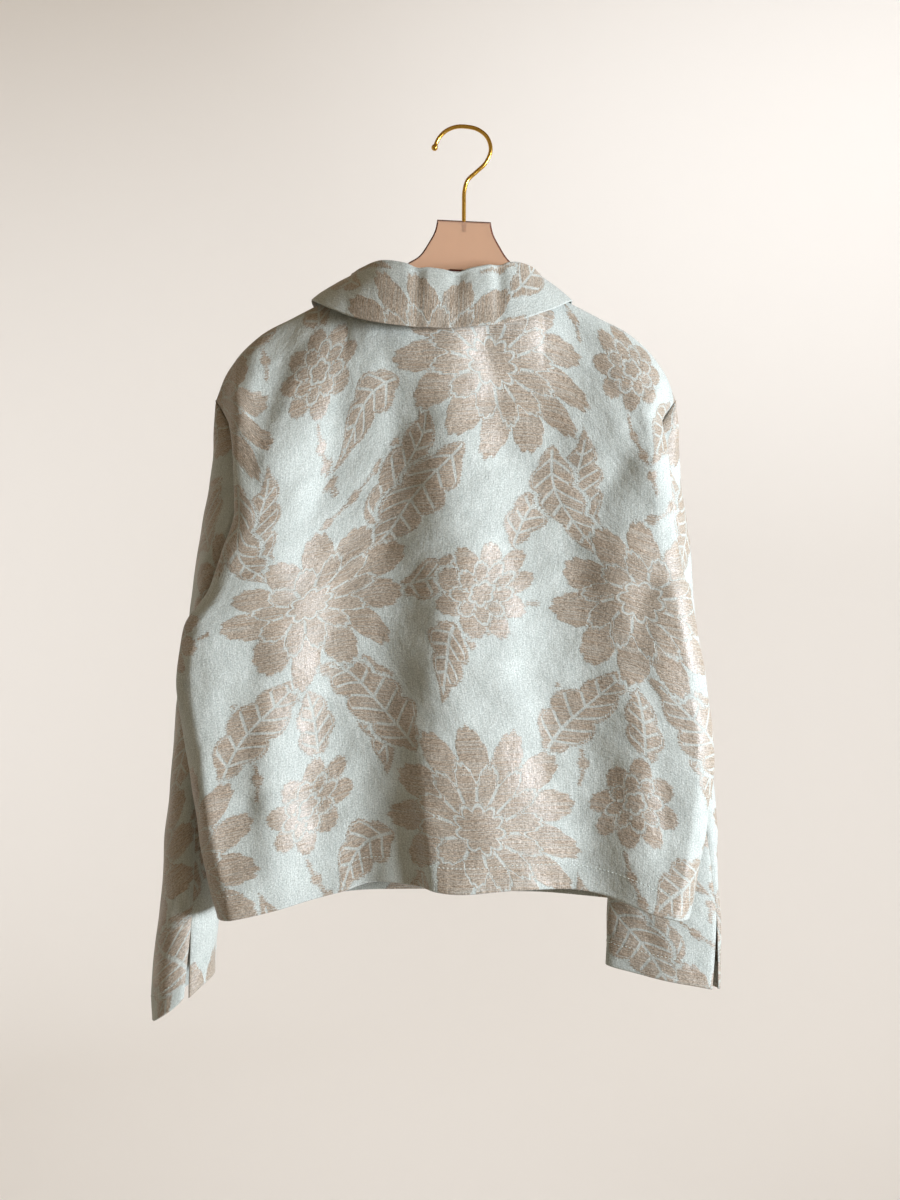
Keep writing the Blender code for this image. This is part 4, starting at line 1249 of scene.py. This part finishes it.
def linen_jacquard(colours):
    """Linen jacquard, woven with slubby weft: figures in taupe weft on a duck-egg ground.

    The eye gets streaks along the weft, broken edges on the figures, fine pale drawing lines and
    a dry, soft surface. The threads are 0.7 mm apart in the cloth; they are drawn WEFT_MM apart,
    as coarse as they need to be to show.
    """
    surface = {"Specular_IOR_Level": 0.75, "Sheen_Weight": 0.2, "Sheen_Roughness": 0.45}
    material, tree, shader = new_material("woven_jacquard", **surface)
    flat = add_node(tree, "UVMap", uv_map="flat")[0]
    flowers = add_node(tree, "Attribute", attribute_name="bloom")["Vector"]
    bloom = add_node(tree, "SeparateXYZ", (flowers,))
    leaves = add_node(tree, "Attribute", attribute_name="foliage")["Vector"]
    leafy = add_node(tree, "SeparateXYZ", (leaves,))
    slubs = grain(tree, flat, SLUB_MM, WEFT_MM, 2.0)
    threads = grain(tree, flat, FIBRE_MM, WEFT_MM, 3.0)
    warps = grain(tree, flat, WEFT_MM, WARP_MM, 3.0)
    clouds = grain(tree, flat, *CLOUD_MM, 3.0)
    crumple = grain(tree, flat, *CRUMPLE_SPREAD_MM, 4.0)
    pepper = grain(tree, flat, PEPPER_MM, PEPPER_MM, 2.0)

    ragged = add_node(tree, "MapRange", (threads, 0.3, 0.7, -RAGGED_MM, RAGGED_MM))[0]
    edge = add_node(tree, "Math", (leafy[0], ragged), operation="ADD")[0]
    figure = add_node(tree, "MapRange", (edge, 0.8, -0.8, 0.0, 1.0))[0]
    nearest = add_node(tree, "Math", (bloom[0],), operation="ABSOLUTE")[0]
    for line in (bloom[1], bloom[2], leafy[1], leafy[2]):
        distance = add_node(tree, "Math", (line,), operation="ABSOLUTE")[0]
        nearest = add_node(tree, "Math", (nearest, distance), operation="MINIMUM")[0]
    broken = add_node(tree, "Math", (nearest, slubs), operation="ADD")[0]
    drawing = add_node(tree, "MapRange", (broken, LINE_MM, LINE_FADE_MM, 0.15, 1.0))[0]
    streak = add_node(tree, "MapRange", (slubs, 0.32, 0.6, 0.62, 1.0))[0]
    cover = add_node(tree, "Math", (figure, drawing), operation="MULTIPLY")[0]
    cover = add_node(tree, "Math", (cover, streak), operation="MULTIPLY")[0]

    pale = {0: warps, MIX_FIRST: (*colours.ground_deep, 1.0), MIX_SECOND: (*colours.ground_pale, 1.0)}
    ground = add_node(tree, "Mix", pale, data_type="RGBA")[MIX_RESULT]
    shade = add_node(tree, "MapRange", (threads, 0.25, 0.75, 0.0, 1.0))[0]
    brown = {0: shade, MIX_FIRST: (*colours.figure_deep, 1.0), MIX_SECOND: (*colours.figure_pale, 1.0)}
    weft = add_node(tree, "Mix", brown, data_type="RGBA")[MIX_RESULT]
    figured = {0: cover, MIX_FIRST: ground, MIX_SECOND: weft}
    cloth = add_node(tree, "Mix", figured, data_type="RGBA")[MIX_RESULT]
    worn = add_node(tree, "MapRange", (clouds, 0.3, 0.7, 0.93, 1.05))[0]
    heather = add_node(tree, "MapRange", (pepper, 0.25, 0.75, 0.68, 1.32))[0]
    tone = add_node(tree, "Math", (worn, heather), operation="MULTIPLY")[0]
    toned = add_node(tree, "HueSaturation", {"Value": tone, "Color": cloth})[0]
    tree.links.new(toned, shader.inputs["Base Color"])
    satin = add_node(tree, "MapRange", (cover, 0.0, 1.0, 0.85, 0.42))[0]
    tree.links.new(satin, shader.inputs["Roughness"])

    soft = add_node(tree, "Bump", {"Height": crumple, "Strength": 0.4, "Distance": CRUMPLE_MM * MM})[0]
    crossing = add_node(tree, "Math", (threads, warps), operation="ADD")[0]
    relief = add_node(tree, "Math", (crossing, cover), operation="ADD")[0]
    woven = {"Height": relief, "Strength": 0.5, "Distance": THREAD_MM * MM, "Normal": soft}
    tree.links.new(add_node(tree, "Bump", woven)[0], shader.inputs["Normal"])
    return material


def linen_thread(colours):
    """Linen sewing thread, twisted and matt: pale, with a fine lengthwise unevenness."""
    material, tree, shader = new_material("sewing_thread", Roughness=0.8, Sheen_Weight=0.1)
    fleck = speckle(tree, THREAD_FLECK_MM)
    tones = {0: fleck, MIX_FIRST: (*colours.thread_deep, 1.0), MIX_SECOND: (*colours.thread_pale, 1.0)}
    tree.links.new(add_node(tree, "Mix", tones, data_type="RGBA")[MIX_RESULT], shader.inputs["Base Color"])
    return material


def horn(colours):
    """Polished horn, turned: clouded greys and browns under a soft gloss."""
    material, tree, shader = new_material("turned_horn", Roughness=0.32, Coat_Weight=0.15)
    cloud = speckle(tree, HORN_CLOUD_MM, Detail=5.0, Distortion=1.2)
    tones = {0: cloud, MIX_FIRST: (*colours.horn_deep, 1.0), MIX_SECOND: (*colours.horn_pale, 1.0)}
    tree.links.new(add_node(tree, "Mix", tones, data_type="RGBA")[MIX_RESULT], shader.inputs["Base Color"])
    return material


def tinted_acrylic(name, colour, transmission):
    """Tinted acrylic, cast and laser cut: clear depth, bright gloss and faint rubbing marks."""
    surface = {"IOR": 1.49, "Transmission_Weight": transmission, "Base_Color": (*colour, 1.0)}
    material, tree, shader = new_material(name, **surface)
    rubbed = speckle(tree, RUBBING_MM, Detail=6.0)
    gloss = add_node(tree, "MapRange", (rubbed, 0.4, 0.75, 0.06, 0.2))[0]
    tree.links.new(gloss, shader.inputs["Roughness"])
    return material


def polished_brass(colours):
    """Brass wire, drawn and polished: warm yellow reflections with fine lengthwise drawing marks."""
    surface = {"Metallic": 1.0, "Base_Color": (*colours.brass, 1.0)}
    material, tree, shader = new_material("drawn_brass", **surface)
    marks = speckle(tree, DRAWING_MARK_MM, Detail=4.0)
    gloss = add_node(tree, "MapRange", (marks, 0.3, 0.7, 0.16, 0.3))[0]
    tree.links.new(gloss, shader.inputs["Roughness"])
    return material


def painted_floor(colour):
    """Matt painted board: even and pale, with a faint roller texture."""
    material, tree, shader = new_material("painted_floor", Roughness=0.9, Base_Color=(*colour, 1.0))
    roller = speckle(tree, ROLLER_MM)
    bump = add_node(tree, "Bump", {"Height": roller, "Strength": 0.04, "Distance": MM})[0]
    tree.links.new(bump, shader.inputs["Normal"])
    return material


def make_floor(stage, material):
    """Round floor that sweeps up into a low wall on every side."""
    turns = np.linspace(0.0, math.pi / 2, SWEEP_STEPS + 1)
    profile = [(0.0, 0.0), (stage.floor_radius / 2, 0.0)]
    profile += [
        (stage.floor_radius + stage.sweep * math.sin(a), stage.sweep * (1 - math.cos(a))) for a in turns
    ]
    profile.append((stage.floor_radius + stage.sweep, stage.wall_height))
    build = bmesh.new()
    floor_z = CAD_LOW.z - stage.floor_drop
    vertices = [build.verts.new((radius, 0.0, floor_z + height)) for radius, height in profile]
    edges = [build.edges.new(pair) for pair in zip(vertices[:-1], vertices[1:])]
    bmesh.ops.spin(
        build, geom=vertices + edges, cent=(0, 0, 0), axis=(0, 0, 1), angle=2 * math.pi, steps=FLOOR_SIDES
    )
    bmesh.ops.remove_doubles(build, verts=build.verts, dist=MM)
    bmesh.ops.recalc_face_normals(build, faces=build.faces)
    mesh = bpy.data.meshes.new("floor")
    build.to_mesh(mesh)
    build.free()
    floor = link_object("floor", mesh, material)
    return floor


def add_light(name, place, aim, size, power, colour, spread):
    """Soft square lamp at a place, turned to an aim, with its light kept within a spread."""
    lamp = bpy.data.lights.new(name, "AREA")
    lamp.size = size
    lamp.energy = power
    lamp.color = colour
    lamp.spread = spread
    obj = bpy.data.objects.new(name, lamp)
    obj.location = place
    obj.rotation_euler = (Vector(aim) - Vector(place)).to_track_quat("-Z", "Y").to_euler()
    obj.visible_camera = False
    bpy.context.scene.collection.objects.link(obj)
    return obj


def add_camera(stage):
    """Camera straight behind the jacket, level, at the photograph's distance and framing."""
    data = bpy.data.cameras.new("camera")
    data.lens = stage.lens
    data.sensor_width = SENSOR_MM
    camera = bpy.data.objects.new("camera", data)
    camera.location = stage.camera_place
    camera.rotation_euler = (math.pi / 2, 0.0, math.pi)
    bpy.context.scene.collection.objects.link(camera)
    bpy.context.scene.camera = camera
    return camera


class JacketSizes(bpy.types.PropertyGroup):
    """Sizes of the sewing that a user would change."""

    thread: bpy.props.FloatProperty(
        name="Hem thread",
        description="Radius of the hem's sewing thread",
        default=0.00038,
        min=0.0001,
        max=0.002,
        unit="LENGTH",
    )


class JacketColours(bpy.types.PropertyGroup):
    """Colours of the cloth, thread, buttons and hanger."""

    ground_deep: bpy.props.FloatVectorProperty(
        name="Ground, deep",
        description="Deeper tone of the cloth's ground",
        subtype="COLOR",
        default=linear("#8E9790"),
    )
    ground_pale: bpy.props.FloatVectorProperty(
        name="Ground, pale",
        description="Paler tone of the cloth's ground",
        subtype="COLOR",
        default=linear("#BBBFB9"),
    )
    figure_deep: bpy.props.FloatVectorProperty(
        name="Figures, deep",
        description="Deeper tone of the woven figures",
        subtype="COLOR",
        default=linear("#625442"),
    )
    figure_pale: bpy.props.FloatVectorProperty(
        name="Figures, pale",
        description="Paler tone of the woven figures",
        subtype="COLOR",
        default=linear("#B0A18E"),
    )
    thread_deep: bpy.props.FloatVectorProperty(
        name="Thread, deep",
        description="Deeper tone of the sewing thread",
        subtype="COLOR",
        default=linear("#A3ACA4"),
    )
    thread_pale: bpy.props.FloatVectorProperty(
        name="Thread, pale",
        description="Paler tone of the sewing thread",
        subtype="COLOR",
        default=linear("#CBD2CB"),
    )
    horn_deep: bpy.props.FloatVectorProperty(
        name="Horn, deep",
        description="Deeper tone of the buttons",
        subtype="COLOR",
        default=linear("#7B6F60"),
    )
    horn_pale: bpy.props.FloatVectorProperty(
        name="Horn, pale",
        description="Paler tone of the buttons",
        subtype="COLOR",
        default=linear("#C9BFAE"),
    )
    acrylic: bpy.props.FloatVectorProperty(
        name="Acrylic",
        description="Tint of the hanger's plate",
        subtype="COLOR",
        default=linear("#D9B294"),
    )
    # Painted shade: the cut edge is coloured darker to stand in for light absorbed along the plate's length
    edge_painted_shade: bpy.props.FloatVectorProperty(
        name="Acrylic edge",
        description="Tint of the hanger's cut edge, seen along the plate",
        subtype="COLOR",
        default=linear("#5E3128"),
    )
    brass: bpy.props.FloatVectorProperty(
        name="Brass",
        description="Colour of the hook's wire",
        subtype="COLOR",
        default=linear("#CDA24A"),
    )


class JacketStage(bpy.types.PropertyGroup):
    """Floor, lights and camera."""

    floor_drop: bpy.props.FloatProperty(
        name="Floor drop",
        description="Height of the jacket's lowest edge over the floor",
        default=0.8,
        min=0.0,
        unit="LENGTH",
    )
    floor_radius: bpy.props.FloatProperty(
        name="Floor radius",
        description="Radius of the flat floor",
        default=2.3,
        min=1.0,
        unit="LENGTH",
    )
    sweep: bpy.props.FloatProperty(
        name="Sweep",
        description="Radius of the sweep from the floor into the wall",
        default=1.4,
        min=0.1,
        unit="LENGTH",
    )
    wall_height: bpy.props.FloatProperty(
        name="Wall height",
        description="Height of the wall round the floor",
        default=5.0,
        min=1.0,
        unit="LENGTH",
    )
    floor_colour: bpy.props.FloatVectorProperty(
        name="Floor",
        description="Colour of the floor and wall",
        subtype="COLOR",
        default=linear("#EEEAE3"),
    )
    key_colour: bpy.props.FloatVectorProperty(
        name="Key light",
        description="Colour of the large soft light",
        subtype="COLOR",
        default=linear("#EEF4FF"),
    )
    key_power: bpy.props.FloatProperty(
        name="Key power",
        description="Power of the large soft light",
        default=29.0,
        min=0.0,
        unit="POWER",
    )
    wall_power: bpy.props.FloatProperty(
        name="Wall power",
        description="Power of the light on the wall behind the jacket",
        default=66.0,
        min=0.0,
        unit="POWER",
    )
    sky: bpy.props.FloatProperty(
        name="Sky",
        description="Strength of the even light from all round",
        subtype="FACTOR",
        default=0.27,
        min=0.0,
        max=2.0,
    )
    lens: bpy.props.FloatProperty(
        name="Lens",
        description="Focal length of the camera, in millimetres",
        default=39.0,
        min=10.0,
        unit="CAMERA",
    )
    camera_place: bpy.props.FloatVectorProperty(
        name="Camera",
        description="Place of the camera behind the jacket",
        subtype="TRANSLATION",
        default=(0.0126, 1.36, -0.4927),
        unit="LENGTH",
    )


class JACKET_OT_body(bpy.types.Operator):
    """Make the back and the two fronts"""

    bl_idname = "jacket.make_body"
    bl_label = "Back and fronts"

    def execute(self, context):
        colours = context.scene.jacket_colours
        radius = context.scene.jacket_sizes.thread / MM
        sewing = Sewing(linen_jacquard(colours), linen_thread(colours), radius)
        make_back(sewing)
        for side in (1, -1):
            make_front(side, sewing)
        return {"FINISHED"}


class JACKET_OT_sleeves(bpy.types.Operator):
    """Make the two sleeves"""

    bl_idname = "jacket.make_sleeves"
    bl_label = "Sleeves"

    def execute(self, context):
        materials = bpy.data.materials
        radius = context.scene.jacket_sizes.thread / MM
        sewing = Sewing(materials["woven_jacquard"], materials["sewing_thread"], radius)
        for sleeve in SLEEVES:
            make_sleeve(sleeve, sewing)
        return {"FINISHED"}


class JACKET_OT_collar(bpy.types.Operator):
    """Make the collar"""

    bl_idname = "jacket.make_collar"
    bl_label = "Collar"

    def execute(self, context):
        make_collar(bpy.data.materials["woven_jacquard"])
        return {"FINISHED"}


class JACKET_OT_buttons(bpy.types.Operator):
    """Make the buttons of the front closing and the thread that holds them"""

    bl_idname = "jacket.make_buttons"
    bl_label = "Buttons"

    def execute(self, context):
        thread_material = bpy.data.materials["sewing_thread"]
        make_buttons(horn(context.scene.jacket_colours), thread_material)
        return {"FINISHED"}


class JACKET_OT_hanger(bpy.types.Operator):
    """Make the hanger's plate and hook"""

    bl_idname = "jacket.make_hanger"
    bl_label = "Hanger"

    def execute(self, context):
        colours = context.scene.jacket_colours
        face = tinted_acrylic("cast_acrylic", colours.acrylic, FACE_TRANSMISSION)
        # The edge's darker tint is painted shade for light absorbed along the tinted plate
        edge = tinted_acrylic("cut_acrylic_edge", colours.edge_painted_shade, EDGE_TRANSMISSION)
        make_plate(face, edge)
        make_hook(polished_brass(colours))
        return {"FINISHED"}


class JACKET_OT_stage(bpy.types.Operator):
    """Make the floor, the lights and the camera"""

    bl_idname = "jacket.make_stage"
    bl_label = "Stage"

    def execute(self, context):
        stage = context.scene.jacket_stage
        make_floor(stage, painted_floor(stage.floor_colour))
        middle = (CAD_LOW + CAD_HIGH) / 2
        add_light("key", KEY_PLACE, middle, KEY_SIZE, stage.key_power, stage.key_colour, KEY_SPREAD)
        add_light("wall", WALL_PLACE, WALL_AIM, WALL_SIZE, stage.wall_power, stage.key_colour, WALL_SPREAD)
        world = bpy.data.worlds.new("studio")
        world.use_nodes = True
        world.node_tree.nodes["Background"].inputs["Color"].default_value = (*SKY_COLOUR, 1.0)
        world.node_tree.nodes["Background"].inputs["Strength"].default_value = stage.sky
        context.scene.world = world
        context.scene.view_settings.view_transform = "Standard"
        add_camera(stage)
        return {"FINISHED"}


class JACKET_PT_sidebar(bpy.types.Panel):
    """Lists the pieces of the jacket and their settings"""

    bl_idname = "JACKET_PT_sidebar"
    bl_label = "Jacket"
    bl_space_type = "VIEW_3D"
    bl_region_type = "UI"
    bl_category = "Jacket"

    def draw(self, context):
        for operator in OPERATORS:
            self.layout.operator(operator.bl_idname)
        for group in (context.scene.jacket_sizes, context.scene.jacket_colours, context.scene.jacket_stage):
            for name in group.__annotations__:
                self.layout.prop(group, name)


OPERATORS = (
    JACKET_OT_body,
    JACKET_OT_sleeves,
    JACKET_OT_collar,
    JACKET_OT_buttons,
    JACKET_OT_hanger,
    JACKET_OT_stage,
)
GROUPS = {"jacket_sizes": JacketSizes, "jacket_colours": JacketColours, "jacket_stage": JacketStage}


def register():
    """Registers the settings, the operators and the panel."""
    for group in GROUPS.values():
        bpy.utils.register_class(group)
    for operator in OPERATORS:
        bpy.utils.register_class(operator)
    bpy.utils.register_class(JACKET_PT_sidebar)
    for name, group in GROUPS.items():
        setattr(bpy.types.Scene, name, bpy.props.PointerProperty(type=group))


def unregister():
    """Takes the settings, the operators and the panel out again."""
    for name in GROUPS:
        delattr(bpy.types.Scene, name)
    bpy.utils.unregister_class(JACKET_PT_sidebar)
    for operator in reversed(OPERATORS):
        bpy.utils.unregister_class(operator)
    for group in GROUPS.values():
        bpy.utils.unregister_class(group)


def main():
    """Makes every piece and the stage."""
    register()
    bpy.ops.jacket.make_body()
    bpy.ops.jacket.make_sleeves()
    bpy.ops.jacket.make_collar()
    bpy.ops.jacket.make_buttons()
    bpy.ops.jacket.make_hanger()
    bpy.ops.jacket.make_stage()


if __name__ == "__main__":
    main()
